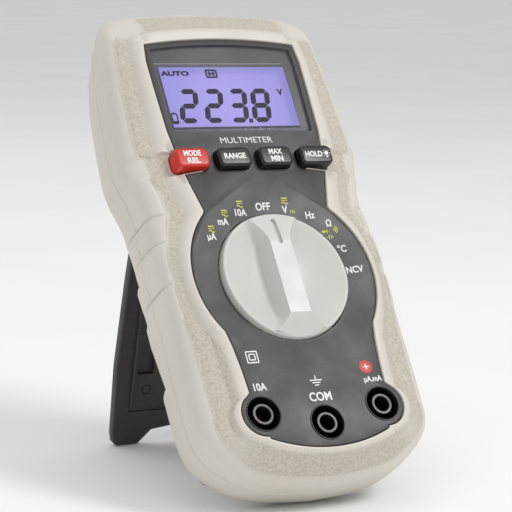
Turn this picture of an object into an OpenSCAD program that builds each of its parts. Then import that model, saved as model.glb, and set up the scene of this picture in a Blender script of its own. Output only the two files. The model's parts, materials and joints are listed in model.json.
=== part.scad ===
// Handheld digital multimeter standing on its fold-out stand.
// The meter is drawn lying flat: X to the right, Y up its length, Z out of its face,
// with the knob's axis at X = Y = 0 and the panel's face at Z = 0.
// stand_up() then leans it back until the case and the stand's feet rest on Z = 0.

/* [Pose] */
// How far the meter leans back from upright, degrees
lean = 36; // [33:0.5:40]

/* [Case] */
// Scale of the case's plan outline about the knob axis
case_grow = 1; // [0.99:0.005:1.02]
// Depth of the parting line below the panel's face
seam_z = -13.5; // [-14.5:0.1:-12.5]
// Depth of the back face below the panel's face
back_z = -28; // [-29:0.1:-27.6]
// Thickness of the case walls
case_wall = 3; // [2.4:0.1:3.4]

/* [Panel] */
// Thickness of the dark panel inlay
panel_t = 1.8; // [1.6:0.1:2]
// Radius of the round dial part of the panel
dial_r = 28.3; // [27.5:0.1:28.8]

/* [Knob] */
// Radius of the knob at its foot
knob_r = 19.4; // [18.5:0.1:19.6]
// Height of the grip bar above the panel's face
grip_top = 2.65; // [2.2:0.05:5]
// Width of the grip bar across its top
grip_w = 6.6; // [6:0.1:8]

/* [Buttons] */
// Width of a button
button_w = 10.6; // [10:0.1:11.4]
// Height of a button along the meter
button_h = 6.2; // [5.6:0.1:6.6]
// How far a button stands out of the panel
button_out = 2.7; // [2:0.1:3]

/* [Sockets] */
// Distance from the middle socket to each outer one
socket_pitch = 19; // [19:0.01:19.1]
// Bore of a socket contact, for a 4 mm plug
socket_bore = 4; // [4:0.01:4.05]

/* [Stand] */
// Length of the stand from its pivot to its feet
stand_l = 84; // [82:0.5:86]
// Half the stand's width at its widest
stand_half = 24.6; // [23.5:0.1:24.8]
// Thickness of the stand
stand_t = 3.2; // [2.8:0.1:3.3]

/* [Hidden] */
$fn = 64;
eps = 0.02;
case_color = "#d2cdc4";
panel_color = "#4d4a4b";
black = "#1c1b1b";
brass = "#c9a552";

// --- plan outline of the case ------------------------------------------------
// Right half of the widest outline, from the top centre to the bottom centre.
case_half = [[0, 91], [12, 90.8], [24, 90], [31, 88.2], [34.2, 84.5], [35.6, 77], [36.6, 66],
    [37.6, 55], [38.3, 45], [38.4, 39], [37.2, 34.5], [35.6, 29], [35, 23], [35.7, 14],
    [36, 7], [35.6, -5], [36, -18], [36, -32], [35.6, -42], [33.6, -48], [29, -52.8],
    [21.5, -57.4], [11, -59.4], [0, -60]];
STEPS = 2;
half_last = len(case_half) - 1;

function half_point(i) =
    i < 0 ? [-case_half[-i][0], case_half[-i][1]] :
    i > half_last ? [-case_half[2 * half_last - i][0], case_half[2 * half_last - i][1]] :
    case_half[i];
// Catmull-Rom curve through four neighbouring points.
function curve(a, b, c, d, t) =
    0.5 * (2 * b + (c - a) * t + (2 * a - 5 * b + 4 * c - d) * t * t
    + (3 * b - a - 3 * c + d) * t * t * t);
right_side = [for (i = [0 : half_last - 1]) for (k = [0 : STEPS - 1])
    case_grow * curve(half_point(i - 1), half_point(i), half_point(i + 1), half_point(i + 2),
        k / STEPS)];
bottom_point = [case_grow * case_half[half_last]];
left_side = [for (i = [len(right_side) - 1 : -1 : 1]) [-right_side[i][0], right_side[i][1]]];
case_ring = concat(right_side, bottom_point, left_side);
ring_n = len(case_ring);

// A point of the outline drawn in by k at the sides and the ends.
mid_y = 15;
half_w = 37;
half_l = 76;
function drawn_in(p, k) = [p[0] * (1 - k / half_w), mid_y + (p[1] - mid_y) * (1 - k / half_l)];
// The top end leans inwards behind the parting line.
function top_lean(y, z) = max(0, min(1, (y - 62) / 22)) * max(0, -z - 8) * 0.6;
function flat_ring(k) = [for (p = case_ring) drawn_in(p, k)];
function ring_at(z, k) = [for (p = flat_ring(k)) [p[0], p[1] - top_lean(p[1], z), z]];

front_rings = [ring_at(-1, 7.2), ring_at(-1.5, 5.2), ring_at(-2.6, 2.8), ring_at(-4.4, 1),
    ring_at(-7, 0), ring_at(seam_z, 0)];
rear_rings = [ring_at(seam_z, 0), ring_at(-20, 0.3), ring_at(-24, 1.4),
    ring_at(back_z + 1.4, 3.2), ring_at(back_z, 6.2)];

// --- places inside the case --------------------------------------------------
face_inner_z = -4.2;
pcb_z = -9.9;
pcb_t = 1.6;
pcb_back_z = pcb_z - pcb_t;
rear_floor_z = -22.8;
recess_z = -24.6;
pivot_y = 45;
pivot_z = -26.3;
recess_half = stand_half + 0.7;
button_xs = [-19.95, -6.65, 6.65, 19.95];
button_y = 37.1;
socket_x = sqrt(socket_pitch * socket_pitch - 16);
socket_y = -40.9;
sockets = [[-socket_x, socket_y], [0, socket_y - 4], [socket_x, socket_y]];
case_screw_at = [[28.2, 64], [26, -47.5]];
pcb_screw_at = [[29, 76], [28.5, -27]];
cell_r = 5.25;
cell_l = 44.5;
cell_ys = [8, -4];
cell_z = -17.2;
door_screw_y = -13.5;
fuse_y = -21;
fuse_z = -16;

// --- outline of the dark panel ----------------------------------------------
// A window part, a round dial and a foot with two lobes.
window_half = [[24.2, 76], [24.9, 70], [24.7, 60], [24.3, 47], [23.6, 41], [22.5, 33], [19.6, 20.9]];
foot_half = [[23.4, -14.6], [22.2, -21], [21.4, -28], [21, -34.7], [18.4, -48.1]];
top_arc_r = 163.6;
top_arc_y = 77.8;
bottom_arc_r = 46.4;
bottom_arc_y = -51.9;
lobe_r = 6.5;
// The two steps of the rim around the panel: how far out and how high.
rim_out = [3.8, 2.4];
rim_top = [-0.4, 0.3];

// --- standing pose -----------------------------------------------------------
function row_height(p) = p[1] * cos(lean) + p[2] * sin(lean);
function row_depth(p) = p[1] * sin(lean) - p[2] * cos(lean);
floor_height = min([for (r = rear_rings) for (p = r) row_height(p)]);
// The lowest point of each rim step lies under the panel's bottom edge.
rim_edge = min([for (i = [0, 1]) row_depth([0, bottom_arc_y - rim_out[i], rim_top[i]])]);
front_edge = min(rim_edge, min([for (r = front_rings) for (p = r) row_depth(p)]));
pivot_up = row_height([0, pivot_y, pivot_z]) - floor_height;
half_t = stand_t / 2;
foot_reach = sqrt(stand_l * stand_l + half_t * half_t);
stand_swing = acos(pivot_up / foot_reach) + atan(half_t / stand_l);
stand_open = lean + stand_swing;
foot_depth = row_depth([0, pivot_y, pivot_z]) + stand_l * sin(stand_swing)
    + half_t * cos(stand_swing);
centre_depth = (front_edge + foot_depth) / 2;

module stand_up() {
    translate([0, -centre_depth, -floor_height]) rotate([90 - lean, 0, 0]) children();
}

// --- shared shapes -----------------------------------------------------------
// Closed skin through a list of rings, the highest one first.
module loft(rings) {
    n = len(rings[0]);
    m = len(rings);
    points = [for (r = rings) for (p = r) p];
    walls = [for (j = [0 : m - 2]) for (i = [0 : n - 1])
        let (a = j * n + i, b = j * n + (i + 1) % n) each [[a, b + n, b], [a, a + n, b + n]]];
    top = [[for (i = [0 : n - 1]) i]];
    bottom = [[for (i = [n - 1 : -1 : 0]) (m - 1) * n + i]];
    polyhedron(points = points, faces = concat(top, walls, bottom));
}

module both_sides() {
    children();
    mirror([1, 0, 0]) children();
}

// Plate between two heights.
module slab(low, high) {
    translate([0, 0, low]) linear_extrude(height = high - low) children();
}

// Box between two corners.
module block(a, b) {
    translate(a) cube(b - a);
}

module rounded(w, h, r) {
    square([w - 2 * r, h], center = true);
    square([w, h - 2 * r], center = true);
    for (x = [-1, 1], y = [-1, 1])
        translate([x * (w / 2 - r), y * (h / 2 - r)]) circle(r);
}

// Round piece along Z between two heights.
module rod(r, low, high) {
    translate([0, 0, low]) cylinder(r = r, h = high - low);
}

// Round piece along X, centred.
module rod_x(r, l) {
    rotate([0, 90, 0]) cylinder(r = r, h = l, center = true);
}

module half_outline(points, mid) {
    mirrored = [for (i = [len(points) - 1 : -1 : 0]) [-points[i][0], points[i][1]]];
    polygon(concat([[0, mid[0]]], points, [[0, mid[1]]], mirrored));
}

module panel_shape() {
    intersection() {
        translate([0, top_arc_y - top_arc_r]) circle(top_arc_r, $fn = 256);
        half_outline(concat([[24.2, 79]], window_half), [79, 10]);
    }
    translate([0, 0.2]) circle(dial_r);
    intersection() {
        translate([0, bottom_arc_y + bottom_arc_r]) circle(bottom_arc_r, $fn = 128);
        half_outline(concat(foot_half, [[18.4, -53]]), [-10, -53]);
    }
    for (side = [-1, 1]) translate([side * socket_x, socket_y]) circle(lobe_r);
}

module lens_shape() {
    intersection() {
        offset(delta = -1.7) panel_shape();
        translate([0, 61.9]) square([60, 30], center = true);
    }
}

module button_shape(grow = 0) {
    rounded(button_w + 2 * grow, button_h + 2 * grow, 1.8 + grow);
}

// Shallow grooves across the grips, cut into the side walls.
module grip_grooves() {
    groove = 1.3;
    for (at = [[35.1, 22], [35.8, 13.5], [36, 0.6]])
        both_sides() translate([at[0] + 0.3, at[1], -30]) rotate([0, 0, 45])
            translate([-groove / 2, -groove / 2, 0]) cube([groove, groove, 27.4]);
}

// --- casing ------------------------------------------------------------------
module front_case() color(case_color) stand_up() difference() {
    union() {
        difference() {
            union() {
                loft(front_rings);
                for (i = [0, 1])
                    slab(-2.6, rim_top[i]) offset(r = rim_out[i]) panel_shape($fn = 40);
            }
            slab(seam_z - 1, face_inner_z) polygon(flat_ring(case_wall));
        }
        rod(23, -5.5, -3);
        both_sides() for (p = case_screw_at) translate(p) rod(2.6, seam_z, -3);
        both_sides() for (p = pcb_screw_at) translate(p) rod(2.3, pcb_z, -3);
    }
    slab(-panel_t, 2) offset(delta = 0.12) panel_shape();
    rod(19.9, -4, 0);
    rod(6.2, -6, 0);
    for (x = button_xs) translate([x, button_y]) slab(-6, 2) button_shape(0.3);
    both_sides() translate([20.6, button_y]) rod(7.6, -1.1, 3);
    block([-22.9, 45.9, -6], [22.9, 74.7, 0]);
    for (p = sockets) translate(p) rod(5.25, -6, 1);
    both_sides() for (p = case_screw_at) translate(p) rod(1.2, seam_z - 1, -6.4);
    both_sides() for (p = pcb_screw_at) translate(p) rod(0.9, pcb_z - 1, -4);
    both_sides() translate([23.6, 76.6, -1.6]) rotate([0, 0, -4]) cube([0.9, 16, 3]);
    grip_grooves();
}

module rear_case() color(case_color) stand_up() difference() {
    union() {
        difference() {
            loft(rear_rings);
            slab(rear_floor_z, seam_z + 1) intersection() {
                polygon(flat_ring(case_wall));
                translate([0, 3]) square([80, 134], center = true);
            }
        }
        both_sides() for (p = case_screw_at) translate(p) rod(2.6, rear_floor_z - 1, seam_z);
        translate([0, door_screw_y]) rod(2.8, rear_floor_z - 1, -17.5);
    }
    block([-recess_half, pivot_y - stand_l - 4, -40], [recess_half, pivot_y + 5, recess_z]);
    translate([0, pivot_y, pivot_z]) rod_x(1.55, 2 * (recess_half + 2.4));
    block([-23.5, -10.2, -30], [23.5, 14.6, rear_floor_z + 1]);
    block([-24.4, -17.2, -30], [24.4, 16.2, recess_z + 1]);
    translate([0, door_screw_y]) rod(0.9, -30, -18.5);
    both_sides() for (p = case_screw_at) translate(p) rod(1.35, -30, seam_z + 1);
    both_sides() for (p = case_screw_at) translate(p) rod(2.6, -30, -25.4);
    grip_grooves();
}

module case_screws() color("#9a9a98") stand_up() both_sides()
    for (p = case_screw_at) translate(p) difference() {
        union() {
            rod(2.4, -27.4, -25.4);
            rod(1.2, -25.4, -6.6);
        }
        rod(0.8, -28, -26.4);
    }

// --- face --------------------------------------------------------------------
module front_panel() color(panel_color) stand_up() difference() {
    slab(-panel_t, 0) panel_shape();
    rotate_extrude() polygon([[0, -1.2], [20.6, -1.2], [27.4, 0], [27.4, 1], [0, 1]]);
    rod(19.8, -3, 1);
    slab(-1.15, 1) lens_shape();
    block([-22.4, 46.4, -3], [22.4, 74.2, 1]);
    for (x = button_xs) translate([x, button_y]) slab(-3, 1) button_shape(0.25);
    for (p = sockets) translate(p) rod(5.25, -3, 1);
}

module display_lens() color("#30343a") stand_up()
    slab(-1.1, -0.05) offset(delta = -0.08) lens_shape();

module lens_seal() color("#101010") stand_up() difference() {
    block([-22.3, 46.5, -1.88], [22.3, 74.1, -1.12]);
    block([-21.2, 48.9, -3], [21.2, 71.2, 0]);
}

module lcd_glass() color("#a29be0") stand_up() block([-22.1, 46.3, -5], [22.1, 74.3, -3.2]);

module lcd_frame() color("#202020") stand_up() difference() {
    union() {
        block([-22.8, 46, -4.3], [22.8, 74.6, -1.9]);
        block([-25, 43.6, pcb_z], [25, 76.4, -4.3]);
    }
    block([-21.2, 48.9, -6], [21.2, 71.2, 0]);
    block([-22.2, 46.2, pcb_z - 1], [22.2, 74.4, -3.2]);
}

module backlight() color("#e8e8ff") stand_up() block([-21, 48.6, -8.4], [21, 71.6, -5.1]);

module zebra_strips() color("#c86a5a") stand_up() for (y = [46.5, 72.4])
    block([-20, y, pcb_z], [20, y + 1.6, -5]);

// --- knob and switch ---------------------------------------------------------
bar_half = [[8.6, 17.2], [4.8, 13.6], [grip_w / 2 + 0.4, 10.5], [grip_w / 2 + 0.4, -12.2],
    [5.2, -14.8], [8.8, -17.2]];

module knob() color("#c9c8c4") stand_up() {
    rotate_extrude() polygon([[0, -3.8], [knob_r, -3.8], [knob_r, -1.2], [knob_r - 0.9, 0.9],
        [knob_r - 1.6, 0.9], [knob_r - 4, -0.6], [knob_r - 8, -1.8], [knob_r - 13, -2.2],
        [0, -2.2]]);
    rod(6, -5.6, -3.7);
    rod(4, -7.7, -5.5);
    difference() {
        intersection() {
            slab(-3, 6) half_outline(bar_half, [20, -20]);
            rotate_extrude() polygon([[0, -3], [knob_r - 0.3, -3], [knob_r - 0.3, -1],
                [knob_r - 1.2, 6], [0, 6]]);
            rotate([90, 0, 90]) slab(-20, 20) polygon([[-20, -3], [-20, -0.6],
                [-12.7, grip_top], [9, grip_top], [20, 0.3], [20, -3]]);
        }
        translate([0, 0, 1.6]) rotate([-15, 0, 0]) block([-0.8, 8.4, 0], [0.8, 17.4, 3]);
    }
}

rotor_r = 17.6;
ball_r = 1;
ball_at = 18.4;
module detent_angles() {
    for (a = [45, 225]) rotate([0, 0, a]) children();
}

module switch_rotor() color("#e6e1d4") stand_up() difference() {
    rod(rotor_r, -7.8, -5.6);
    rod(4.03, -9, -5);
    detent_angles() translate([15, 0, -6.7]) rod_x(1.03, 7);
}

module wiper_contacts() color(brass) stand_up() for (a = [0, 120, 240]) rotate([0, 0, a]) {
    block([7, -1.2, -8.1], [14, 1.2, -7.8]);
    block([13.7, -1.2, -9.4], [14, 1.2, -8.1]);
    translate([13.4, 0, -9.4]) rotate([90, 0, 0]) cylinder(r = 0.45, h = 2.4, center = true);
}

module detent_ring() color("#e6e1d4") stand_up() difference() {
    rod(21.6, -8.6, -5.5);
    rod(19.5, -9, -5);
    for (i = [0 : 19]) rotate([0, 0, 9 + 18 * i]) translate([19.6, 0, 0]) rod(0.9, -9, -5);
}

module detent_balls() color("silver") stand_up()
    detent_angles() translate([ball_at, 0, -6.7]) sphere(ball_r);

module detent_springs() color("silver") stand_up() detent_angles()
    for (i = [0 : 6]) translate([12 + 0.75 * i, 0, -6.7]) rotate([0, 90, 0])
        rotate_extrude() translate([0.7, 0]) circle(0.18, $fn = 16);

// --- buttons -----------------------------------------------------------------
module button(i, tint) color(tint) stand_up() translate([button_xs[i], button_y]) {
    slab(-4.3, button_out - 0.6) button_shape();
    slab(button_out - 0.7, button_out) button_shape(-0.5);
    slab(-5.1, -4.3) button_shape(0.9);
    slab(-8.35, -5) rounded(4, 3, 0.8);
}
module button_mode() button(0, "#d8321f");
module button_range() button(1, black);
module button_max_min() button(2, black);
module button_hold() button(3, black);

module button_mat() color("#8d8f92") stand_up() {
    block([-25, 31.6, pcb_z], [25, 42.6, -9.6]);
    for (x = button_xs) translate([x, button_y]) rod(2.6, pcb_z, -9.4);
}

// --- circuit board -----------------------------------------------------------
module main_pcb() color("#2f6a44") stand_up() difference() {
    slab(pcb_back_z, pcb_z) intersection() {
        polygon(flat_ring(4.4));
        translate([0, 25]) square([90, 116], center = true);
    }
    both_sides() translate(case_screw_at[0]) rod(2.9, -20, 0);
    both_sides() for (p = pcb_screw_at) translate(p) rod(1.2, -20, 0);
}

module pcb_screws() color("#9a9a98") stand_up() both_sides()
    for (p = pcb_screw_at) translate(p) {
        rod(2, pcb_back_z - 1.4, pcb_back_z);
        rod(0.9, pcb_back_z - 0.2, -4.4);
    }

module meter_chip() color("#22252a") stand_up() {
    block([2, 26, pcb_back_z - 1.6], [16, 40, pcb_back_z]);
    block([-24, 50, pcb_back_z - 1.4], [-15, 56, pcb_back_z]);
}

module input_parts() color("#c98a3a") stand_up() {
    for (x = [-26, -21, 14, 19, 24])
        translate([x, 24, pcb_back_z - 1.6]) rotate([90, 0, 0]) cylinder(r = 1.3, h = 7);
    translate([8, -27.5, pcb_back_z - 4.4]) rotate([90, 0, 0]) cylinder(r = 4.4, h = 2.6);
}

module buzzer() color("#1e1e20") stand_up() translate([-12, 34]) difference() {
    rod(6.5, pcb_back_z - 4.4, pcb_back_z);
    rod(0.9, pcb_back_z - 6, pcb_back_z - 3);
}

module voltage_sensor() color(brass) stand_up()
    block([-15, 78.4, pcb_z], [15, 81.6, pcb_z + 0.4]);

module current_shunt() color("#b87a4b") stand_up() translate([-24.5, -28.5, 0]) {
    for (x = [0, 9]) translate([x, 0]) rod(0.8, -16, pcb_back_z);
    translate([4.5, 0, -16]) rotate([-90, 0, 0]) rotate_extrude(angle = 180)
        translate([4.5, 0]) circle(0.8, $fn = 24);
}

module fuse(x, l, r) {
    translate([x, fuse_y, fuse_z]) rod_x(r - 0.25, l - 1);
    for (s = [-1, 1]) translate([x + s * (l / 2 - 3), fuse_y, fuse_z]) rod_x(r, 6);
}
module fuse_10a() color("#e8e4da") stand_up() fuse(-13, 32, 3.15);
module fuse_ma() color("#dfe6e6") stand_up() fuse(17, 20, 2.6);

module fuse_clip(x, r) {
    difference() {
        block([x - 2, fuse_y - r - 0.5, fuse_z - 1.5], [x + 2, fuse_y + r + 0.5, pcb_back_z]);
        translate([x, fuse_y, fuse_z]) rod_x(r + 0.02, 6);
        block([x - 3, fuse_y - r - 0.02, -40], [x + 3, fuse_y + r + 0.02, fuse_z]);
    }
}
module fuse_clips() color("silver") stand_up() {
    for (x = [-26, 0]) fuse_clip(x, 3.15);
    for (x = [10, 24]) fuse_clip(x, 2.6);
}

// --- sockets -----------------------------------------------------------------
// Insulating well with a hollow post that shrouds the contact.
well_r = 4.74;
post_r = 3.1;
contact_top = -6;
contact_base = -22.4;
module socket_body(i) color(black) stand_up() translate(sockets[i]) rotate_extrude() polygon([
    [well_r, 0.1], [well_r + 0.15, 0.25], [5.2, 0.25], [5.2, -4.3], [6.2, -4.3], [6.2, -5.4],
    [5.5, -5.4], [5.5, -21.6], [2.6, -21.6], [2.6, contact_top], [2.2, contact_top],
    [2.2, -0.3], [post_r, -0.3], [post_r, -19.8], [well_r, -19.8]]);

module contact(i) color(brass) stand_up() translate(sockets[i]) {
    difference() {
        rod(2.58, contact_base, contact_top);
        rod(socket_bore / 2, contact_base + 0.5, 0);
    }
    block([-1.5, 2, contact_base], [1.5, -30.5 - sockets[i][1], contact_base + 0.5]);
    block([-1.5, -31 - sockets[i][1], contact_base], [1.5, -30.5 - sockets[i][1], pcb_back_z]);
}
module socket_10a() socket_body(0);
module socket_com() socket_body(1);
module socket_ma() socket_body(2);
module contact_10a() contact(0);
module contact_com() contact(1);
module contact_ma() contact(2);

// --- battery -----------------------------------------------------------------
module battery_cells() color("#3a3f46") stand_up() for (i = [0, 1])
    translate([0, cell_ys[i], cell_z]) mirror([i, 0, 0]) {
        translate([-0.4, 0, 0]) rod_x(cell_r, cell_l - 0.8);
        translate([cell_l / 2 - 0.6, 0, 0]) rod_x(1.9, 1.2);
    }

module battery_plates() color("silver") stand_up() both_sides()
    block([24, -9, -22], [24.4, 13, pcb_back_z]);

module battery_springs() color("silver") stand_up() for (i = [0, 1])
    mirror([i, 0, 0]) for (k = [0 : 1])
        translate([-cell_l / 2 - 0.35 - 0.6 * k, cell_ys[i], cell_z]) rotate([0, 90, 0])
            rotate_extrude() translate([3 - 0.5 * k, 0]) circle(0.3, $fn = 16);

module battery_door() color(case_color) stand_up() difference() {
    union() {
        block([-24.25, -17.05, recess_z], [24.25, 16.05, recess_z + 0.95]);
        block([-23.35, -10.05, recess_z + 0.9], [23.35, 14.45, rear_floor_z]);
    }
    translate([0, door_screw_y]) rod(1.3, -30, -20);
    translate([0, door_screw_y, recess_z]) cylinder(r1 = 2.2, r2 = 1.3, h = 0.9);
}

module door_screw() color("#9a9a98") stand_up() translate([0, door_screw_y]) difference() {
    union() {
        translate([0, 0, recess_z + 0.05]) cylinder(r1 = 2.1, r2 = 1.2, h = 0.8);
        rod(0.9, recess_z + 0.4, -18.6);
    }
    translate([0, 0, -25]) rod(0.5, -1, 0.8);
}

// --- stand -------------------------------------------------------------------
stand_side = [[stand_half - 1.8, 0], [stand_half - 0.5, -30], [stand_half, -58],
    [stand_half - 1, -stand_l + 3.6], [stand_half - 2.4, -stand_l], [14.8, -stand_l],
    [10.6, -stand_l + 4.4]];

module stand_shape() half_outline(stand_side, [0, -stand_l + 5.8]);

// The stand hangs from its pivot along -Y and is swung out by stand_open.
module tilt_stand() color("#3b393a") stand_up()
    translate([0, pivot_y, pivot_z]) rotate([stand_open, 0, 0]) {
        difference() {
            slab(-half_t, half_t) stand_shape();
            slab(half_t - 0.9, half_t + 1) intersection() {
                offset(delta = -4.5) stand_shape();
                translate([0, -40]) square([60, 66], center = true);
            }
            both_sides() block([12, -61, -0.2], [17.4, -52, half_t]);
        }
        rod_x(half_t, 2 * (stand_half - 1.8));
        rod_x(1.5, 2 * (recess_half + 2.1));
    }

front_case();
rear_case();
front_panel();
display_lens();
lens_seal();
lcd_glass();
lcd_frame();
backlight();
zebra_strips();
knob();
switch_rotor();
wiper_contacts();
detent_ring();
detent_balls();
detent_springs();
button_mode();
button_range();
button_max_min();
button_hold();
button_mat();
main_pcb();
pcb_screws();
socket_10a();
socket_com();
socket_ma();
contact_10a();
contact_com();
contact_ma();
current_shunt();
fuse_10a();
fuse_ma();
fuse_clips();
meter_chip();
input_parts();
buzzer();
voltage_sensor();
battery_cells();
battery_plates();
battery_springs();
battery_door();
door_screw();
case_screws();
tilt_stand();
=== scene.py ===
"""Handheld digital multimeter on its fold-out stand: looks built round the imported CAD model.

Pieces are shaped in millimetres in the meter's own frame, X to the right, Y up its length and Z out
of its face with the knob's axis at the origin, and are then laid into the row frame in metres.
"""

import json
import math

import bmesh
import bpy
from mathutils import Matrix, Vector
from mathutils.bvhtree import BVHTree


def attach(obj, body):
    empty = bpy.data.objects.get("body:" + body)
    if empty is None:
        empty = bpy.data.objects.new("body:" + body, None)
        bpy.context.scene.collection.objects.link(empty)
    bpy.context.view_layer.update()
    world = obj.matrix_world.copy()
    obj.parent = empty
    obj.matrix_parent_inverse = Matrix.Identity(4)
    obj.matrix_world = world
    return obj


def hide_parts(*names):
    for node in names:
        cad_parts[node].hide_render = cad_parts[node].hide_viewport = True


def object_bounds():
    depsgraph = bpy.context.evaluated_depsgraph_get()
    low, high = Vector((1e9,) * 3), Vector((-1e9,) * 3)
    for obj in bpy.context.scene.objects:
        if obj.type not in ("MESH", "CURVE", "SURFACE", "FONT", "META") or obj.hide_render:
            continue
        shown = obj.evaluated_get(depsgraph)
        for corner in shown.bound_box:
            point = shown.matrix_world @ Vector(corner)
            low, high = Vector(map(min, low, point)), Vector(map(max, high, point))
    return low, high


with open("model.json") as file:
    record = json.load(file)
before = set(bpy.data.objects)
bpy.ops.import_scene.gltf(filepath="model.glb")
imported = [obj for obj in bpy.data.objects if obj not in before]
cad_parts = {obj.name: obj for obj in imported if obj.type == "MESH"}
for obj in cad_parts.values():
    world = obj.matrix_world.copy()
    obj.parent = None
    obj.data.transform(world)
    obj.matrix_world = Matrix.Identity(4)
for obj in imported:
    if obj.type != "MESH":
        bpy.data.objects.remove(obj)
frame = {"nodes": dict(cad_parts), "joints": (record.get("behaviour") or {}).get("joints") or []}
CAD_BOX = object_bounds()

# --- frames -------------------------------------------------------------------------------------
MM = 0.001
JOINTS = {joint["name"]: joint for joint in frame["joints"]}
DIAL = JOINTS["selector_turn"]
OUT = Vector(DIAL["axis"])
UP = Vector((0, OUT.z, -OUT.y))
TURN = Matrix((Vector((1, 0, 0)), UP, OUT)).transposed()
METER = Matrix.Translation(DIAL["pos_m"]) @ TURN.to_4x4() @ Matrix.Scale(MM, 4)
TO_METER = METER.inverted()
FOLD = JOINTS["stand_fold"]
STAND_OPEN = math.radians(FOLD["range_deg"][1])
PIVOT = TO_METER @ Vector(FOLD["pos_m"])
STAND = METER @ Matrix.Translation(PIVOT) @ Matrix.Rotation(STAND_OPEN, 4, "X")


def box_in(node, place=METER):
    """Lowest and highest corner of a CAD node in a frame of millimetres."""
    points = [place.inverted() @ v.co for v in frame["nodes"][node].data.vertices]
    low = Vector([min(p[i] for p in points) for i in range(3)])
    return low, Vector([max(p[i] for p in points) for i in range(3)])


def middle(node):
    low, high = box_in(node)
    return (low + high) / 2


# --- camera, light and floor --------------------------------------------------------------------
LENS = 148.58
CAMERA_AT = (-0.28330, -0.52737, 0.15410)
CAMERA_LOOK = (0.46753, 0.87148, -0.14809)
CAMERA_ROLL = 1.73


def linear(colour):
    """An sRGB hex colour as linear RGBA."""
    parts = [int(colour[i:i + 2], 16) / 255 for i in (1, 3, 5)]
    return (*(c / 12.92 if c <= 0.04045 else ((c + 0.055) / 1.055) ** 2.4 for c in parts), 1)


def add_camera():
    data = bpy.data.cameras.new("camera")
    data.lens = LENS
    data.sensor_width = 36
    data.clip_start = 0.01
    data.clip_end = 20
    camera = bpy.data.objects.new("camera", data)
    aim = Vector(CAMERA_LOOK).to_track_quat("-Z", "Y").to_matrix().to_4x4()
    roll = Matrix.Rotation(math.radians(CAMERA_ROLL), 4, "Z")
    camera.matrix_world = Matrix.Translation(CAMERA_AT) @ aim @ roll
    bpy.context.scene.collection.objects.link(camera)
    bpy.context.scene.camera = camera


def add_light(name, at, size, power):
    data = bpy.data.lights.new(name, "AREA")
    data.shape = "RECTANGLE"
    data.size, data.size_y = size
    data.energy = power
    light = bpy.data.objects.new(name, data)
    aim = (Vector((0, 0, 0.07)) - Vector(at)).to_track_quat("-Z", "Y").to_matrix().to_4x4()
    light.matrix_world = Matrix.Translation(at) @ aim
    bpy.context.scene.collection.objects.link(light)


def add_studio():
    """A pale floor that reaches past the view, soft boxes and an even white surround."""
    add_light("key", (0.55, -0.70, 0.95), (0.40, 0.40), 6.0)
    add_light("fill", (-0.95, -0.55, 0.45), (0.9, 0.9), 1.0)
    add_light("top", (-0.1, 0.15, 1.2), (0.9, 0.7), 1.8)
    add_light("rear", (-0.5, 0.95, 0.6), (0.8, 0.6), 1.2)
    world = bpy.data.worlds.new("studio")
    world.use_nodes = True
    surround = world.node_tree.nodes["Background"]
    surround.inputs["Color"].default_value = linear("#f6f6f6")
    surround.inputs["Strength"].default_value = 0.68
    bpy.context.scene.world = world
    bpy.context.scene.view_settings.view_transform = "Standard"
    bm = bmesh.new()
    bmesh.ops.create_grid(bm, x_segments=1, y_segments=1, size=6)
    bmesh.ops.translate(bm, verts=bm.verts, vec=(0, 0, CAD_BOX[0].z - 0.0002))
    floor = finished("floor", bm, painted_floor(), Matrix.Identity(4))


# --- material nodes -----------------------------------------------------------------------------
NOISE, RAMP, MIX = "ShaderNodeTexNoise", "ShaderNodeValToRGB", "ShaderNodeMix"
MATH, BUMP, MAPPING = "ShaderNodeMath", "ShaderNodeBump", "ShaderNodeMapping"


def wire(tree, node, inputs):
    """Sets a node's inputs: a socket or a node is linked, anything else is its value."""
    for key, item in inputs.items():
        if isinstance(item, bpy.types.Node):
            item = next(socket for socket in item.outputs if socket.enabled)
        if isinstance(item, bpy.types.NodeSocket):
            tree.links.new(item, node.inputs[key])
        else:
            node.inputs[key].default_value = item


def add(tree, kind, inputs, stops=(), **settings):
    """Adds one node with its settings, its inputs and a ramp's stops of place and hex colour or grey."""
    node = tree.nodes.new(kind)
    for name, value in settings.items():
        setattr(node, name, value)
    wire(tree, node, inputs)
    for index, (place, tone) in enumerate(stops):
        while len(node.color_ramp.elements) <= index:
            node.color_ramp.elements.new(place)
        node.color_ramp.elements[index].position = place
        node.color_ramp.elements[index].color = linear(tone) if isinstance(tone, str) else (tone,) * 3 + (1,)
    return node


def per_metre(size_mm):
    """The noise scale that makes lumps about size_mm across."""
    return 0.5 / (size_mm * MM)


def begin(name):
    """A new material: itself, its tree, its shader and its Object coordinates."""
    material = bpy.data.materials.new(name)
    material.use_nodes = True
    tree = material.node_tree
    at = add(tree, "ShaderNodeTexCoord", {}).outputs["Object"]
    return material, tree, tree.nodes["Principled BSDF"], at


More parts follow.
